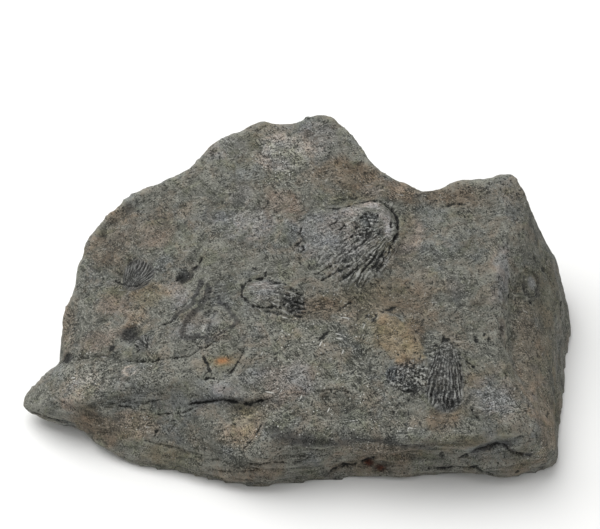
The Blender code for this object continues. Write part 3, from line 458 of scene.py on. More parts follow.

# Narrow bands of the same tones, some of them painted shadow: tone, half width, strength, and the points that
# they pass
BANDS = [
    ("slate", 0.62, 0.95, [(-27.9, -3.7), (-28.6, -6.2), (-29.5, -7.9), (-30.3, -10), (-31.9, -10.9),
        (-34, -11.8), (-35.6, -13.6)]),
    ("slate", 0.62, 0.9, [(-26, -4.4), (-26.1, -6.5), (-26.9, -8.2), (-28.5, -11.3), (-31, -13),
        (-32.2, -15), (-32.8, -17.5), (-32.5, -19.3), (-30.8, -19.8), (-28.3, -19.1)]),
    ("slate", 0.52, 0.7, [(-23.2, -7.7), (-22.3, -9.8), (-21.1, -10.2), (-19.8, -12.8), (-18.1, -15.2),
        (-18.4, -16.9), (-20.1, -17.4), (-21.7, -18.3), (-23.4, -19.5), (-25.8, -21.1)]),
    ("slate", 0.46, 0.7, [(-23.5, -13), (-24.7, -14.9), (-25.5, -17.6), (-25.9, -19.6), (-26.3, -20.7)]),
    ("pale tan", 0.3, 0.9, [(-48.7, -26.6), (-47.6, -25.2), (-45.9, -25.2), (-45, -26.4), (-45.7, -27.6),
        (-47.4, -27.9), (-48.7, -26.6)]),
    # painted shadow: a dark band on the front wall just under its top edge
    ("slate", 1.3, 0.6, [(-6.8, -46.2, 18.1), (-4.2, -46.9, 17.7), (-0.9, -47.6, 16.9), (3.1, -47.6, 15.8),
        (9.2, -47.4, 14.9), (12.3, -47.8, 16.6), (18, -48.4, 17.6), (22.8, -48.9, 17.6), (29.4, -48.3, 15.4),
        (33.1, -47.8, 13.7)]),
    # painted shade in the hollow inside the raised left-hand rim
    ("slate", 2.2, 0.22, [(-54.4, 12.6), (-51.4, 15.6), (-47.6, 18.6), (-42.5, 21.5)]),
    ("slate", 0.6, 0.4, SCAR),
    # painted shadow under the overhanging band of the front
    ("slate", 1, 0.7, [(43.1, -46.9, 10.4), (46.9, -48.7, 13.5), (52.9, -47.1, 14.6), (56.5, -46.8, 11),
        (59.9, -46.4, 9.6)]),
    # painted soft shadow round the crack under the lip
    ("slate", 1, 0.6, [(-29.5, -35.7, 17.7), (-24.6, -36.4, 19.4), (-21.3, -37.2, 20.5),
        (-17.9, -37.8, 20.2), (-14.4, -38.4, 20), (-11.8, -38, 20.8), (-8.8, -37.9, 21.6),
        (-6.5, -38.5, 21.4)]),
]

# Broken shell with dark pits and pale flecks: place, radius and strength
PITTED = [
    ((18.5, 13.8), 2.8, 1), ((16.5, 9), 3.2, 1), ((28.2, -32.8), 6, 1), ((-3, -10.4), 3.8, 1),
    ((-8.4, -8), 6, 0.45), ((24, -33), 2.6, 1), ((34.6, -32), 4, 0.8), ((38, -38.6), 4, 0.9),
    ((18.4, -14.8, 29.5), 2, 0.8), ((14, 3.6), 5, 0.8), ((20.5, 1, 34), 3.4, 1), ((7, 3, 33.8), 4.8, 0.45),
    ((10, 10), 9, 0.5), ((12, -1, 33), 4, 0.6), ((38, -26), 5, 0.8), ((39.5, -33), 5, 0.6),
    ((-47, 3, 27), 3.6, 0.5),
]

# Where pale flecks gather: place and radius
FLECKED = [
    ((-0.9, -46.1), 5), ((9.6, -45.9), 6), ((17.5, -47.2), 6), ((26, -48), 5), ((39.2, -48), 5),
    ((54, -40), 6), ((17.3, 12.4), 2), ((-27.5, -43.7, 11.2), 3), ((-60, -24, 16), 9), ((-25, -20), 5),
    ((-20.5, -47.6, 12), 3.5), ((62.1, -46.3, 9.8), 4), ((-8.8, -36.5), 5), ((-40, -29, 20), 7),
    ((-20, -20), 4), ((-20, -46), 4), ((-7, -42), 5), ((-6, 34), 10), ((14, 6), 11), ((2, -20), 17),
    ((10, -40), 17), ((-12, -47, 14), 6), ((-45, -37), 5), ((-8, -7, 31), 6),
]


def smooth(low, high, value):
    """0 below low, 1 above high and a soft rise between."""
    t = np.clip((value - low) / (high - low), 0.0, 1.0)
    return t * t * (3.0 - 2.0 * t)


def mesh_points(mesh):
    """Vertex positions in millimetres and normals of a mesh, as arrays."""
    points, normals = np.empty((2, len(mesh.vertices) * 3))
    mesh.vertices.foreach_get("co", points)
    mesh.vertices.foreach_get("normal", normals)
    return points.reshape(-1, 3) / MM, normals.reshape(-1, 3)


def set_points(mesh, points):
    mesh.vertices.foreach_set("co", (points * MM).ravel())
    mesh.update()


def edge_ends(mesh):
    ends = np.empty(len(mesh.edges) * 2, int)
    mesh.edges.foreach_get("vertices", ends)
    return ends.reshape(-1, 2)


def eased(values, ends, shares):
    """Columns of values at a mesh's points, each taken those shares of the way to its neighbours' mean."""
    heads, tails = ends.ravel(), ends[:, ::-1].ravel()
    count = np.maximum(np.bincount(heads, minlength=len(values)), 1)
    for share in shares:
        means = [np.bincount(heads, column[tails], len(values)) / count for column in values.T]
        values = values + share * (np.column_stack(means) - values)
    return values


def rough(points, wavelength, seed, octaves=1):
    """Smooth noise from about -1 to 1 at each point."""
    places = points / wavelength + np.array([seed, seed * 0.37, -seed * 0.61])
    if octaves == 1:
        return np.array([noise.noise(Vector(place)) for place in places])
    return np.array([noise.fractal(Vector(place), 0.8, 2.1, octaves) for place in places])


def on_stone(points, normals, places):
    """The places, with those that have x and y alone lifted to the upper face."""
    face = points[normals[:, 2] > 0.3]
    return [p if len(p) == 3 else face[((face[:, :2] - p) ** 2).sum(1).argmin()] for p in places]


def place_gap(points, normals, place, radius):
    """How far each point is from a place, in radii."""
    return np.linalg.norm(points - on_stone(points, normals, [place])[0], axis=1) / radius


def path_gap(points, normals, path, reach):
    """Points near a path, how far each is from it along the surface, and its share of the way along."""
    corners = np.array(on_stone(points, normals, path), float)
    low, high = corners.min(0) - reach, corners.max(0) + reach
    near = np.flatnonzero(((points > low) & (points < high)).all(1))
    place, out = points[near], normals[near]
    gap, share = np.full(len(near), 1e9), np.zeros(len(near))
    lengths = np.linalg.norm(np.diff(corners, axis=0), axis=1)
    done = 0.0
    for start, end, length in zip(corners[:-1], corners[1:], lengths):
        way = (end - start) / length
        along = np.clip((place - start) @ way, 0.0, length)
        offset = place - start - along[:, None] * way
        height = (offset * out).sum(1)
        leg_gap = np.sqrt(np.clip((offset**2).sum(1) - 0.9 * height**2, 0.0, None))
        closer = leg_gap < gap
        gap = np.where(closer, leg_gap, gap)
        share = np.where(closer, (done + along) / lengths.sum(), share)
        done += length
    kept = gap < reach
    return near[kept], gap[kept], share[kept]


def tapered(share, length):
    """0 at both ends of a path and 1 between them, with soft rises of that length."""
    return smooth(0.0, length, share) * smooth(1.0, 1.0 - length, share)


def valve_frame(points, normals, valve):
    """The beak's position and the directions along, across and out of a valve, read off the stone."""
    (x, y), length = valve.beak, valve.length
    turn = math.radians(valve.turn)
    middle = np.array([x + length / 2 * math.cos(turn), y + length / 2 * math.sin(turn)])
    offset = points[:, :2] - middle
    under = (np.hypot(*offset.T) < length / 2) & (normals[:, 2] > 0.4)
    table = np.column_stack([np.ones(under.sum()), offset[under]])
    height, slope_x, slope_y = np.linalg.lstsq(table, points[under, 2], rcond=None)[0]
    right = Vector((1.0, 0.0, slope_x)).normalized()
    out = right.cross(Vector((0.0, 1.0, slope_y))).normalized()
    up_slope = out.cross(right)
    along = np.array(math.cos(turn) * right + math.sin(turn) * up_slope)
    across = np.array(math.cos(turn) * up_slope - math.sin(turn) * right)
    beak = np.array([*middle, height]) - length / 2 * along
    return beak, along, across, np.array(out)


def valve_place(points, valve, axes):
    """Where points lie on a valve: along and across it as shares, and 1 at its margin."""
    beak, along, across, out = axes
    offset = points - beak
    a, b, height = offset @ along / valve.length, offset @ across / (valve.width / 2), offset @ out
    u = 2.0 * a - 1.0
    v = b / np.clip(1.0 + valve.flare * u, 0.5, None)
    reach = (np.abs(u) ** SQUARENESS + np.abs(v) ** SQUARENESS) ** (1 / SQUARENESS)
    return a, b, np.where(np.abs(height) < VALVE_BAND, reach, FAR_OFF)


def near_details(points, normals, axes):
    """True where a valve or a line needs a finer mesh."""
    near = np.zeros(len(points), bool)
    for name, valve in VALVES.items():
        near |= valve_place(points, valve, axes[name])[2] < 1.02
    for width, _, _, paths in LINES:
        for path in paths:
            near[path_gap(points, normals, path, width + 0.45)[0]] = True
    return near


def split_edges(mesh, chosen):
    """Halves the edges between the chosen points."""
    bm = bmesh.new()
    bm.from_mesh(mesh)
    edges = [e for e in bm.edges if chosen[e.verts[0].index] and chosen[e.verts[1].index]]
    bmesh.ops.subdivide_edges(bm, edges=edges, cuts=1, use_grid_fill=True)
    bmesh.ops.triangulate(bm, faces=[f for f in bm.faces if 4 < len(f.verts) < 12])
    bm.to_mesh(mesh)
    bm.free()


def close_base(mesh, height):
    """Makes the flat underside one face."""
    bm = bmesh.new()
    bm.from_mesh(mesh)
    for vert in bm.verts:
        if vert.co.z < height:
            vert.co.z = 0.0
    flat = [f for f in bm.faces if max(v.co.z for v in f.verts) <= 0.0]
    bmesh.ops.dissolve_faces(bm, faces=flat, use_verts=False)
    bm.to_mesh(mesh)
    bm.free()


def add_object(name, data):
    """A new object in the scene."""
    obj = bpy.data.objects.new(name, data)
    bpy.context.scene.collection.objects.link(obj)
    return obj


def even_mesh(mesh, edge):
    """A new mesh with edges of about that length, in place of the old one."""
    obj = add_object("work", mesh)
    modifier = obj.modifiers.new("Remesh", "REMESH")
    modifier.mode, modifier.voxel_size = "VOXEL", edge
    result = bpy.data.meshes.new_from_object(obj.evaluated_get(bpy.context.evaluated_depsgraph_get()))
    bpy.data.objects.remove(obj)
    bpy.data.meshes.remove(mesh)
    return result


def stone_relief(points, normals, settings):
    """Heights of broken stone: knobs, split layers on the face and ledges along the beds on the sides."""
    face = smooth(0.70, 0.88, normals[:, 2])
    push = settings.knobs / MM * (
        1.3 * rough(points, 6.0, 3.0, 2) + 0.6 * rough(points, 2.3, 8.0, 2) + 0.42 * rough(points, 1.15, 17.0)
    )
    push *= 1.0 - 0.25 * face
    bed = points[:, 2] - BED_SLOPE * points[:, 1]
    lamina = settings.lamina / MM
    level = (bed + 1.1 * rough(points, 9.0, 21.0, 3)) / lamina
    split = level - np.floor(level)
    step = smooth(0.0, 0.22, split) - split
    push += settings.lamina_step / MM * step * face
    dip = points[:, 2] - 0.05 * points[:, 1]
    ledges = rough(np.column_stack([points[:, :2] / 14.0, dip / 1.5]), 1.0, 31.0)
    fine = rough(np.column_stack([points[:, :2] / 5.0, dip / 0.62]), 1.0, 43.0)
    side = smooth(0.80, 0.45, np.abs(normals[:, 2])) * (1.0 - 0.7 * smooth(0.5, 0.85, normals[:, 0]))
    push += settings.ledges / MM * side * (np.sign(ledges) * np.abs(ledges) ** 0.7 + 0.5 * fine)
    return push * smooth(0.0, 1.5, points[:, 2])


def carve_lines(points, normals, relief, dark):
    """Cracks, margins and grooves, and how dark each is. The dark of the grooves under overhangs of the front
    and below a low step is painted shadow.
    """
    wander = rough(points, 1.0, 61.0, 2)
    breaks = rough(points, 2.0, 67.0, 2)
    for width, depth, darkness, path in ((*look, path) for *look, paths in LINES for path in paths):
        near, gap, share = path_gap(points, normals, path, 3.0 * width + 1.0)
        ends, broken = tapered(share, 0.12), breaks[near]
        reach = width * (0.38 + 0.34 * ends) * np.clip(1.0 + 0.8 * broken, 0.3, 1.6)
        line = np.exp(-(((gap + 0.34 * wander[near]) / reach) ** 2))
        shown = (0.3 + 0.7 * ends) * np.clip(0.85 + 0.7 * broken, 0.25, 1.0)
        relief[near] -= depth * line * shown
        dark[near] = np.maximum(dark[near], darkness * line * shown)


def carve_spots(points, normals, relief, dark):
    """Small hollows filled with dark mud."""
    ragged = rough(points, 1.3, 71.0, 2)
    for place, radius, depth, darkness in SPOTS:
        spot = smooth(1.15, 0.75, place_gap(points, normals, place, radius) + 0.3 * ragged)
        relief -= depth * spot
        dark[:] = np.maximum(dark, darkness * spot)


def carve_forms(points, normals, relief):
    """Soft ridges and hollows."""
    wander = rough(points, 4.0, 53.0, 2)
    for width, height, path in FORMS:
        near, gap, share = path_gap(points, normals, path, 3.0 * width)
        gap += 0.3 * width * wander[near]
        relief[near] += height * tapered(share, 0.25) * np.exp(-((gap / width) ** 2))


def carve_valves(points, axes, relief):
    """Ribs that fan out from each beak. Returns what the finish needs: four numbers, then two more."""
    uneven = rough(points, 2.4, 81.0, 2)
    swerve = rough(points, 5.0, 83.0, 2)
    patchy = np.clip(0.75 + 0.9 * uneven, 0.1, 1.1)
    phase, groove, body, pale, along, within = np.zeros((6, len(points)))
    for name, valve in VALVES.items():
        a, b, reach = valve_place(points, valve, axes[name])
        near = reach < 1.25
        inside = smooth(1.03, 0.90, reach + 0.05 * uneven) * near
        spreading = (0.6 + valve.apex) / np.clip(a + valve.apex, 0.04, None)
        turns = valve.ribs / 2 * b * spreading + 0.3 * uneven + 0.45 * swerve
        strength = inside * smooth(valve.start, valve.start + 0.22, a) * patchy
        side = 1.0 - valve.faint * smooth(0.45, -0.15, b)
        relief -= valve.depth * (0.15 + 0.5 * np.cos(math.tau * turns)) * strength * (0.2 + 0.8 * side)
        phase[near] = turns[near]
        along[near] = (a * valve.length / 10.0)[near]
        groove = np.maximum(groove, valve.groove * strength * side)
        body = np.maximum(body, valve.body * inside)
        pale = np.maximum(pale, valve.pale * strength * side)
        within = np.maximum(within, inside * (0.35 + 0.65 * side))
    return [phase, groove, body, pale], [along, within]


def find_pitted(points, normals, relief):
    """Where the shell is broken and pitted."""
    pitted = np.zeros(len(points))
    ragged = rough(points, 1.8, 93.0, 2)
    for place, radius, strength in PITTED:
        gap = place_gap(points, normals, place, radius) + 0.25 * ragged
        pitted = np.maximum(pitted, strength * smooth(1.1, 0.6, gap))
    relief -= 0.25 * pitted * (0.3 + rough(points, 1.0, 91.0, 2))
    return pitted


def paint_stains_and_shade(points, normals):
    """Colour and strength of the stains and the painted shade at each point."""
    colour, strength = np.zeros((len(points), 3)), np.zeros(len(points))
    ragged = rough(points, 5.0, 101.0, 3)
    wander = rough(points, 1.5, 107.0, 3)

    def lay(display, chosen, weight):
        mix = weight / np.maximum(weight + strength[chosen] * (1.0 - weight), 1e-6)
        colour[chosen] += (np.array(linear(*display)) - colour[chosen]) * mix[:, None]
        strength[chosen] = 1.0 - (1.0 - strength[chosen]) * (1.0 - weight)

    for display, places in STAINS_AND_SHADE.values():
        for place, reach, across, share in places:
            place, size = on_stone(points, normals, [place])[0], np.array([reach, across, across])
            chosen = np.flatnonzero((np.abs(points - place) < 2.0 * size).all(1))
            gap = np.linalg.norm((points[chosen] - place) / size, axis=1)
            gap += min(0.4, 0.12 * across) * ragged[chosen]
            lay(display, chosen, share * smooth(1.45, 0.35, gap))
    for tone, width, share, path in BANDS:
        chosen, gap, _ = path_gap(points, normals, path, 3.0 * width)
        gap = gap / (width * np.clip(1.0 + 0.9 * ragged[chosen], 0.3, 2.1)) + 0.8 * wander[chosen]
        lay(STAINS_AND_SHADE[tone][0], chosen, share * smooth(1.6, 0.7, gap))
    return colour, strength


def paint_flecks(points, normals):
    """How thickly pale flecks lie at each point."""
    gaps = (place_gap(points, normals, place, radius) for place, radius in FLECKED)
    return np.max([smooth(1.2, 0.4, gap) for gap in gaps], axis=0)


def store(mesh, name, columns):
    """Keeps up to four numbers for each point as a colour attribute."""
    table = np.zeros((len(mesh.vertices), 4), np.float32)
    numbers = np.column_stack(columns)
    table[:, :numbers.shape[1]] = numbers
    mesh.attributes.new(name, "FLOAT_COLOR", "POINT").data.foreach_set("color", table.ravel())


def maths(operation, swapped=False):
    """A method of Wire that puts it through a Math node, after the other value where they are swapped."""

    def method(wire, *others):
        values = (*others, wire) if swapped else (wire, *others)
        return wire.sheet.wire("ShaderNodeMath", {"operation": operation}, dict(enumerate(values)))

    return method


class Wire:
    """A value in a shader. Sums and products of wires add their own Math nodes."""

    def __init__(self, sheet, socket):
        self.sheet = sheet
        self.socket = socket

    __add__ = __radd__ = maths("ADD")
    __sub__ = maths("SUBTRACT")
    __rsub__ = maths("SUBTRACT", swapped=True)
    __mul__ = __rmul__ = maths("MULTIPLY")
    __truediv__ = maths("DIVIDE")
    at_most = maths("MINIMUM")
    at_least = maths("MAXIMUM")
    cosine = maths("COSINE")


class ShaderSheet:
    """A material's nodes."""

    def __init__(self, material):
        material.use_nodes = True
        self.tree = material.node_tree
        self.tree.nodes.clear()

    def node(self, kind, settings=None, sockets=None):
        """Adds a node. Settings go first, then the values or wires of its sockets."""
        made = self.tree.nodes.new(kind)
        for name, value in (settings or {}).items():
            setattr(made, name, value)
        for key, value in (sockets or {}).items():
            socket = made.inputs[key]
            if isinstance(value, Wire):
                self.tree.links.new(value.socket, socket)
            else:
                socket.default_value = value
        return made

    def wire(self, kind, settings=None, sockets=None, output=0):
        return Wire(self, self.node(kind, settings, sockets).outputs[output])

    def colour_mix(self, share, first, second, blend="MIX"):
        """The first colour going over to the second as share goes from 0 to 1."""
        first, second = (c if isinstance(c, Wire) else (*c, 1.0) for c in (first, second))
        settings = {"data_type": "RGBA", "blend_type": blend}
        return self.wire("ShaderNodeMix", settings, {0: share, 6: first, 7: second}, 2)

    def tinted(self, share, colour, tint, middle):
        """The colour taken towards a tint that is measured against the stone's middle grey."""
        ratio = self.colour_mix(1.0, tint, middle, "DIVIDE")
        return self.colour_mix(share, colour, self.colour_mix(1.0, colour, ratio, "MULTIPLY"))

    def finish(self, sockets):
        """Ends the sheet with a surface."""
        surface = self.wire("ShaderNodeBsdfPrincipled", None, sockets)
        self.node("ShaderNodeOutputMaterial", None, {"Surface": surface})

    def rise(self, low, high, value):
        """0 where value is below low, 1 above high and a soft rise between."""
        settings = {"interpolation_type": "SMOOTHSTEP"}
        return self.wire("ShaderNodeMapRange", settings, {"Value": value, "From Min": low, "From Max": high})

    def mottle(self, place, size, detail=2.0, roughness=0.5, warp=0.0):
        """Noise from 0 to 1 with features of about that size in metres."""
        sockets = {"Vector": place, "Scale": 1.0 / size, "Detail": detail, "Roughness": roughness}
        return self.wire("ShaderNodeTexNoise", None, {**sockets, "Distortion": warp})

    def vector_maths(self, operation, first, second, output=0):
        return self.wire("ShaderNodeVectorMath", {"operation": operation}, {0: first, 1: second}, output)

    def vector(self, **parts):
        return self.wire("ShaderNodeCombineXYZ", None, parts)

    def first_part(self, colour):
        return self.wire("ShaderNodeSeparateColor", None, {0: colour})

    def moved(self, place, shift):
        return self.vector_maths("ADD", place, shift)

    def stretched(self, place, scale):
        return self.vector_maths("MULTIPLY", place, scale)

    def turned(self, place, angle, shift, scale):
        """The place in axes that are turned about z, moved and then stretched."""
        sockets = {"Vector": place, "Location": (shift, shift, shift), "Rotation": (0.0, 0.0, angle)}
        return self.stretched(self.wire("ShaderNodeMapping", None, sockets), scale)

    def cells(self, place, size):
        """Of the nearest cell: how far its middle is, a colour of its own, and where its middle is."""
        made = self.node("ShaderNodeTexVoronoi", None, {"Vector": place, "Scale": 1.0 / size})
        return [Wire(self, made.outputs[name]) for name in ("Distance", "Color", "Position")]

    def chips(self, place, scale, size):
        """Height of small facets, each tilted its own way. A slope of 1 is the steepest."""
        bent = self.mottle(place, size) * size
        place = self.stretched(self.moved(place, self.vector(X=bent, Y=bent)), scale)
        _, colour, middle = self.cells(place, size)
        tilt = self.moved(colour, (-0.5, -0.5, -0.5))
        return self.vector_maths("DOT_PRODUCT", self.vector_maths("SUBTRACT", place, middle), tilt, "Value")

    def specks(self, place, spacing, smallest, largest):
        """Round specks of mixed sizes, 1 inside each. Sizes are shares of the spacing."""
        distance, colour, _ = self.cells(place, spacing)
        radius = (self.first_part(colour) * (largest - smallest) + smallest).at_least(0.001)
        return self.rise(1.0, 0.45, distance / radius)


def read_marks(sheet, name):
    """The four numbers that the mesh holds under a name."""
    mark = sheet.node("ShaderNodeAttribute", {"attribute_name": name})
    split = sheet.node("ShaderNodeSeparateColor", None, {0: Wire(sheet, mark.outputs["Color"])})
    return [Wire(sheet, split.outputs[i]) for i in range(3)] + [Wire(sheet, mark.outputs["Alpha"])]


def stone_material(colours):
    """Fine-grained grey limestone with stains, specks, shell remains and mud-filled cracks, with painted
    highlight on crests and edges and painted shade in hollows and under overhangs.
    """
    material = bpy.data.materials.new("limestone")
    sheet = ShaderSheet(material)
    mottle, rise, mix = sheet.mottle, sheet.rise, sheet.colour_mix
    place = sheet.wire("ShaderNodeTexCoord", output=3)
    stain_and_shade = sheet.node("ShaderNodeAttribute", {"attribute_name": "stain_and_shade"})
    stain_and_shade_colour, stain_and_shade_strength = Wire(sheet, stain_and_shade.outputs["Color"]), Wire(sheet, stain_and_shade.outputs["Alpha"])
    dark, flecked, painted_crest_light, side = read_marks(sheet, "marks")
    phase, groove, body, pale = read_marks(sheet, "shell")
    pitted, along, within = read_marks(sheet, "broken")[:3]

    # tone of the stone: broad patches, flakes, grain, and thin beds on the sides, with painted highlight on
    # crests and edges and painted shade in hollows
    patches = mottle(place, 0.016, 3.0, 0.55, 0.4)
    clouds = mottle(place, 0.0058, warp=0.8)
    grain = mottle(place, 0.0010, 3.0, 0.6)
    powder = mottle(place, 0.00038, 2.0, 0.7)
    leaning = mottle(sheet.turned(place, 0.9, 0.2, (0.30, 1.3, 1.0)), 0.0006, 2.0, 0.6)
    crossing = mottle(sheet.turned(place, -0.35, 0.6, (0.30, 1.3, 1.0)), 0.0006, 2.0, 0.6)
    strokes = leaning + (crossing - leaning) * rise(0.42, 0.58, mottle(place, 0.0045))
    flake = sheet.first_part(sheet.cells(sheet.stretched(place, (0.62, 1.0, 1.0)), 0.0009)[1])
    wavy = sheet.vector(Z=(mottle(place, 0.03, 1.0) - 0.5) * 0.012)
    beds = mottle(sheet.stretched(sheet.moved(place, wavy), (0.11, 0.11, 1.0)), 0.00095, 4.0, 0.65)
    liveliness = rise(0.42, 0.66, mottle(place, 0.0028, 3.0, 0.7, 0.5))
    contrast = (0.4 + liveliness * 1.3) * (1.0 + flecked * 1.1 - side * 0.15)
    fine = (grain - 0.5) * 0.3 + (powder - 0.5) * 2.9 + (flake - 0.5) * 0.3
    fine = fine + (strokes - 0.5) * 1.9 * (1.0 - side * 0.45)
    fine = fine * (0.32 + fine * fine * 4.0)
    tone = 0.47 + (patches - 0.5) * 0.55 + (clouds - 0.5) * 0.55 + fine * contrast
    tone = tone + (mottle(place, 0.0030, 3.0, 0.6) - 0.5) * side * 0.55
    # painted highlight on crests and edges of the relief, and painted shade in its hollows
    tone = tone + (painted_crest_light - 0.5) * (0.9 - side * 0.45) + (beds - 0.5) * side * 0.9
    colour = mix(rise(0.0, 1.0, tone), colours.dark_grey, colours.pale_grey)

    # weathered films and stains, and the painted shade that is laid with the stains
    broken = (clouds - 0.5) * 0.5 + (grain - 0.5) * 0.5
    brown = rise(0.45, 0.68, mottle(place, 0.0060, 4.0, 0.65, 0.6) + broken * 0.5)
    olive_place = sheet.moved(place, (0.3, 0.1, 0.2))
    olive = rise(0.50, 0.72, mottle(olive_place, 0.0060, 3.0, 0.6, 0.5) - broken * 0.4)
    cool = rise(0.50, 0.72, mottle(place, 0.0105, 3.0, 0.6, 0.3) - broken * 0.5)
    # this share also lays the painted shadow under the front edge, the lip and the overhangs
    stain_and_shade_share = rise(0.10, 0.85, stain_and_shade_strength + broken * 0.55 * stain_and_shade_strength.at_most(0.6))
    for share, film in (
        (brown * 0.85, colours.brown), (olive * 0.85, colours.olive), (cool * 0.9, colours.cool),
        (stain_and_shade_share, stain_and_shade_colour),
    ):
        colour = sheet.tinted(share, colour, film, colours.middle)

    # specks and short scratches
    black_specks = sheet.specks(place, 0.0015, -0.04, 0.30) * (1.0 - side * 0.25)
    colour = mix(black_specks * 0.85, colour, colours.mud)
    fleck_zone = 0.35 + flecked * 0.65 - side * 0.1
    for angle, seed, tone, share in (
        (0.5, 0.31, colours.mud, 0.85), (-0.9, 0.77, colours.mud, 0.85), (1.7, 0.15, colours.mud, 0.85),
        (0.2, 0.52, colours.calcite, fleck_zone * 0.8), (-1.2, 0.93, colours.calcite, fleck_zone * 0.8),
    ):
        scratches = sheet.specks(sheet.turned(place, angle, seed, (0.28, 1.5, 1.0)), 0.0022, -0.26, 0.21)
        colour = mix(scratches * (1.0 - side * 0.3) * share, colour, tone)
    pale_flecks = sheet.specks(place, 0.00095, -0.08, 0.32)
    colour = mix(pale_flecks * fleck_zone * 0.8, colour, colours.calcite)

    # shell: slate body, pale rib crests, dark grooves, and pits in its broken parts
    ragged = mottle(place, 0.00048, 3.0, 0.7)
    colour = mix(body * (0.45 + ragged), colour, colours.slate)
    wave = (phase * math.tau + (mottle(place, 0.0022, 3.0, 0.7) - 0.5) * 8.0).cosine()
    colour = mix(rise(0.0, 0.9, wave * -1.0) * pale * 0.75, colour, colours.shell)
    every_other = rise(-0.5, 0.5, (phase * math.pi + (ragged - 0.5) * 4.0 + 0.6).cosine())
    gaps = rise(0.42, 0.58, mottle(place, 0.0014, 3.0, 0.7))
    dark_grooves = rise(0.05, 0.8, wave) * groove * (0.15 + gaps * 0.85) * (0.6 + every_other * 0.4)
    lumps = mottle(place, 0.0009, 3.0, 0.75)
    pits = rise(0.505, 0.44, lumps) * pitted
    flecks = rise(0.545, 0.62, lumps) * pitted
    fibres = mottle(sheet.vector(X=phase * 2.3, Y=along * 3.2), 1.0, 3.0, 0.65, 0.3)
    pale_fibres = rise(0.53, 0.66, fibres) * within * (1.0 - body * 0.75)
    dark_fibres = rise(0.475, 0.34, fibres) * within * (0.65 + groove * 0.6)
    colour = mix(flecks.at_least(pale_fibres) * 0.9, colour, colours.shell)
    # dark lines and spots in mud colour: mud in cracks, margins, grooves and pits, and painted shadow along
    # the overhangs of the front and below a low step
    torn = dark + (ragged - 0.5) * (dark * 3.0).at_most(1.0) * 2.0
    filled = rise(0.22, 0.80, torn).at_least(dark_grooves * 0.9).at_least(pits).at_least(dark_fibres)
    colour = mix(filled * (0.78 + powder * 0.4).at_most(0.98), colour, colours.mud)

    # relief of the grain, the facets and the carved parts
    chips = sheet.chips(place, (0.7, 1.0, 1.0), 0.0030) * 0.26
    chips = chips + sheet.chips(place, (0.55, 1.1, 1.0), 0.0012) * 0.34
    height = (grain - 0.5) * 0.00018 + (powder - 0.5) * 0.00022 + (clouds - 0.5) * 0.0003
    height = height + chips * (1.0 - side * 0.6) + (beds - 0.5) * side * 0.00035 - filled * 0.00012
    height = height + (fibres - 0.5) * within * 0.00035
    height = height + (strokes - 0.5) * (1.0 - side * 0.7) * (0.3 + liveliness) * 0.0004
    height = height - black_specks * 0.00006 + pale_flecks * fleck_zone * 0.00003
    sheet.finish({
        "Base Color": colour,
        "Roughness": 0.88 + (grain - 0.5) * 0.2 - pale_flecks * 0.15,
        "Specular IOR Level": 0.35,
        "Normal": sheet.wire("ShaderNodeBump", None, {"Strength": 1.0, "Distance": 1.0, "Height": height}),
    })
    return material


def colour_setting(name, description, *display):
    return FloatVectorProperty(name=name, description=description, subtype="COLOR", default=linear(*display))


def length_setting(name, description, default):
    return FloatProperty(name=name, description=description, default=default, unit="LENGTH")


class BlockSettings(bpy.types.PropertyGroup):
    """Mesh and relief of the broken stone"""

    grid: length_setting("Grid", "Edge length of the even mesh", 0.00116)
    softening: IntProperty(name="Softening", description="Rounds of smoothing of the facets", default=6)
    knobs: length_setting("Knobs", "Height of the small knobs", 0.00024)
    lamina: length_setting("Lamina", "Thickness of a split layer", 0.0011)
    lamina_step: length_setting("Lamina step", "Height of the edges of split layers", 0.00022)
    ledges: length_setting("Ledges", "Depth of the beds on the sides", 0.00032)


class ColourSettings(bpy.types.PropertyGroup):
    """Colours of the stone"""

    dark_grey: colour_setting("Dark grey", "Darkest fresh stone", 50, 51, 46)
    pale_grey: colour_setting("Pale grey", "Palest fresh stone", 138, 138, 129)
    middle: colour_setting("Middle grey", "Grey that tints are measured against", 112, 112, 105)
    brown: colour_setting("Brown", "Weathered film", 109, 103, 93)
    cool: colour_setting("Cool grey", "Fresh patches", 110, 112, 110)
    olive: colour_setting("Olive", "Greenish film", 107, 108, 94)
    slate: colour_setting("Slate", "Dark shell", 52, 53, 54)
    shell: colour_setting("Shell", "Pale shell", 166, 166, 162)
    # mud also colours the painted shadow lines under overhangs
    mud: colour_setting("Mud", "Filling of cracks and grooves", 30, 31, 30)
    calcite: colour_setting("Calcite", "Pale flecks", 196, 196, 190)


class StageSettings(bpy.types.PropertyGroup):
    """Floor, light and camera"""

    floor: FloatVectorProperty(
        name="Floor", description="Floor colour", subtype="COLOR", default=(0.86, 0.86, 0.85)
    )
    lamp_power: FloatProperty(
        name="Lamp power", description="Power of the overhead lamp", default=8.8, unit="POWER"
    )
    lamp_size: length_setting("Lamp size", "Side of the overhead lamp", 0.9)
    sky: FloatProperty(name="Sky", description="Strength of the light from all round", default=0.58)
    elevation: FloatProperty(
        name="Elevation", description="Camera angle above the floor", unit="ROTATION",
        default=math.radians(45.0),
    )
    distance: length_setting("Distance", "Camera distance", 0.56)
    scale: FloatProperty(name="Picture scale", description="Pixels to a metre of the stone", default=3620.0)


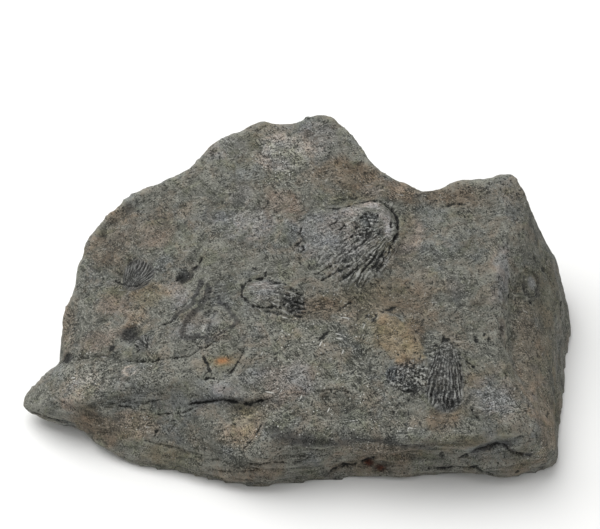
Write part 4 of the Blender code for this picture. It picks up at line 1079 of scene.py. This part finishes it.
class FOSSIL_OT_block(bpy.types.Operator):
    """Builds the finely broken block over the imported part"""

    bl_idname = "fossil.block"
    bl_label = "Build the block"

    def execute(self, context):
        settings = context.scene.fossil_block
        mesh = even_mesh(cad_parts["fossil_rock"].data.copy(), settings.grid)
        # a step towards the neighbours and a slightly longer one back: small steps go and corners stay
        set_points(mesh, eased(mesh_points(mesh)[0], edge_ends(mesh), (0.5, -0.52) * settings.softening))
        close_base(mesh, FOOT_HEIGHT)

        # a finer mesh on the face and the front, and a finer one still where there are details
        points, normals = mesh_points(mesh)
        face, front = normals[:, 2] > FACING, (normals[:, 1] < -FACING) & (points[:, 1] < FRONT_START)
        split_edges(mesh, (face | front) & (points[:, 2] > COARSE_FOOT))
        points, normals = mesh_points(mesh)
        axes = {name: valve_frame(points, normals, valve) for name, valve in VALVES.items()}
        split_edges(mesh, near_details(points, normals, axes))

        points, normals = mesh_points(mesh)
        relief, dark = stone_relief(points, normals, settings), np.zeros(len(points))
        calm = np.ones(len(points))
        for name, valve in VALVES.items():
            calm -= 0.55 * smooth(1.1, 0.9, valve_place(points, valve, axes[name])[2])
        relief *= np.clip(calm, 0.4, 1.0)
        shell, fibre = carve_valves(points, axes, relief)
        pitted = find_pitted(points, normals, relief)
        carve_forms(points, normals, relief)
        carve_lines(points, normals, relief, dark)
        carve_spots(points, normals, relief, dark)
        relief *= smooth(0.0, 1.0, points[:, 2])
        set_points(mesh, points + normals * relief[:, None])

        # what the finish reads: a painted highlight on crests and on the block's edges, and painted shade in
        # small hollows
        ends = edge_ends(mesh)
        fine = relief - eased(relief[:, None], ends, [0.5] * 8)[:, 0]
        edge = ((points - eased(points, ends, [0.5] * 10)) * normals).sum(1)
        painted_crest_light = 0.5 + np.clip(1.3 * fine, -0.3, 0.3) + np.clip(1.2 * edge, -0.25, 0.3)
        side = smooth(0.80, 0.45, np.abs(normals[:, 2]))
        store(mesh, "stain_and_shade", paint_stains_and_shade(points, normals))
        store(mesh, "marks", [dark, paint_flecks(points, normals), painted_crest_light, side])
        store(mesh, "shell", shell)
        store(mesh, "broken", [pitted, *fibre])
        mesh.name = STONE
        mesh.shade_smooth()
        stone = add_object(STONE, mesh)
        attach(stone, "root")
        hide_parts("fossil_rock")
        return {"FINISHED"}


class FOSSIL_OT_finish(bpy.types.Operator):
    """Gives the block its stone finish"""

    bl_idname = "fossil.finish"
    bl_label = "Finish the stone"

    def execute(self, context):
        mesh = bpy.data.objects[STONE].data
        mesh.materials.clear()
        mesh.materials.append(stone_material(context.scene.fossil_colours))
        return {"FINISHED"}


class FOSSIL_OT_stage(bpy.types.Operator):
    """Lays the floor and sets the lights and the camera"""

    bl_idname = "fossil.stage"
    bl_label = "Set the stage"

    def execute(self, context):
        scene, settings = context.scene, context.scene.fossil_stage
        mesh = bpy.data.meshes.new("studio_floor")
        corners = [(x * FLOOR_REACH, y * FLOOR_REACH, 0.0) for x, y in ((-1, -1), (1, -1), (1, 1), (-1, 1))]
        mesh.from_pydata(corners, [], [(0, 1, 2, 3)])
        material = bpy.data.materials.new("studio_floor")
        ShaderSheet(material).finish({"Base Color": (*settings.floor, 1.0), "Roughness": 0.7})
        mesh.materials.append(material)
        floor = add_object("studio_floor", mesh)

        lamp = bpy.data.lights.new("overhead_lamp", "AREA")
        lamp.size = settings.lamp_size
        lamp.energy = settings.lamp_power
        hung = add_object("overhead_lamp", lamp)
        hung.location = LAMP_PLACE
        hung.rotation_euler = (-LAMP_PLACE).to_track_quat("-Z", "Y").to_euler()

        world = bpy.data.worlds.new("studio_light")
        world.use_nodes = True
        sky = world.node_tree.nodes["Background"]
        sky.inputs["Color"].default_value = (1.0, 1.0, 1.0, 1.0)
        sky.inputs["Strength"].default_value = settings.sky
        scene.world = world
        scene.view_settings.view_transform = "Standard"

        camera = bpy.data.cameras.new("camera")
        camera.lens = settings.scale * settings.distance * camera.sensor_width / PICTURE_WIDTH
        camera.clip_start, camera.clip_end = 0.01, 20.0
        stand = add_object("camera", camera)
        back = Vector((0.0, -math.cos(settings.elevation), math.sin(settings.elevation)))
        stand.location = CAMERA_TARGET + back * settings.distance
        stand.rotation_euler = (math.radians(90.0) - settings.elevation, 0.0, 0.0)
        scene.camera = stand
        return {"FINISHED"}


class FOSSIL_PT_panel(bpy.types.Panel):
    """Settings and steps of the fossil"""

    bl_idname = "FOSSIL_PT_panel"
    bl_label = "Brachiopod fossil"
    bl_space_type = "VIEW_3D"
    bl_region_type = "UI"
    bl_category = "Fossil"

    def draw(self, context):
        for name, group, operator in STEPS:
            box = self.layout.box()
            for setting in group.__annotations__:
                box.prop(getattr(context.scene, name), setting)
            box.operator(operator.bl_idname)


STEPS = (
    ("fossil_block", BlockSettings, FOSSIL_OT_block),
    ("fossil_colours", ColourSettings, FOSSIL_OT_finish),
    ("fossil_stage", StageSettings, FOSSIL_OT_stage),
)
CLASSES = (*(made for _, *pair in STEPS for made in pair), FOSSIL_PT_panel)


def register():
    for made in CLASSES:
        bpy.utils.register_class(made)
    for name, group, _ in STEPS:
        setattr(bpy.types.Scene, name, PointerProperty(type=group))


def unregister():
    for name, _, _ in STEPS:
        delattr(bpy.types.Scene, name)
    for made in reversed(CLASSES):
        bpy.utils.unregister_class(made)


def main():
    register()
    bpy.ops.fossil.block()
    bpy.ops.fossil.finish()
    bpy.ops.fossil.stage()


if __name__ == "__main__":
    main()
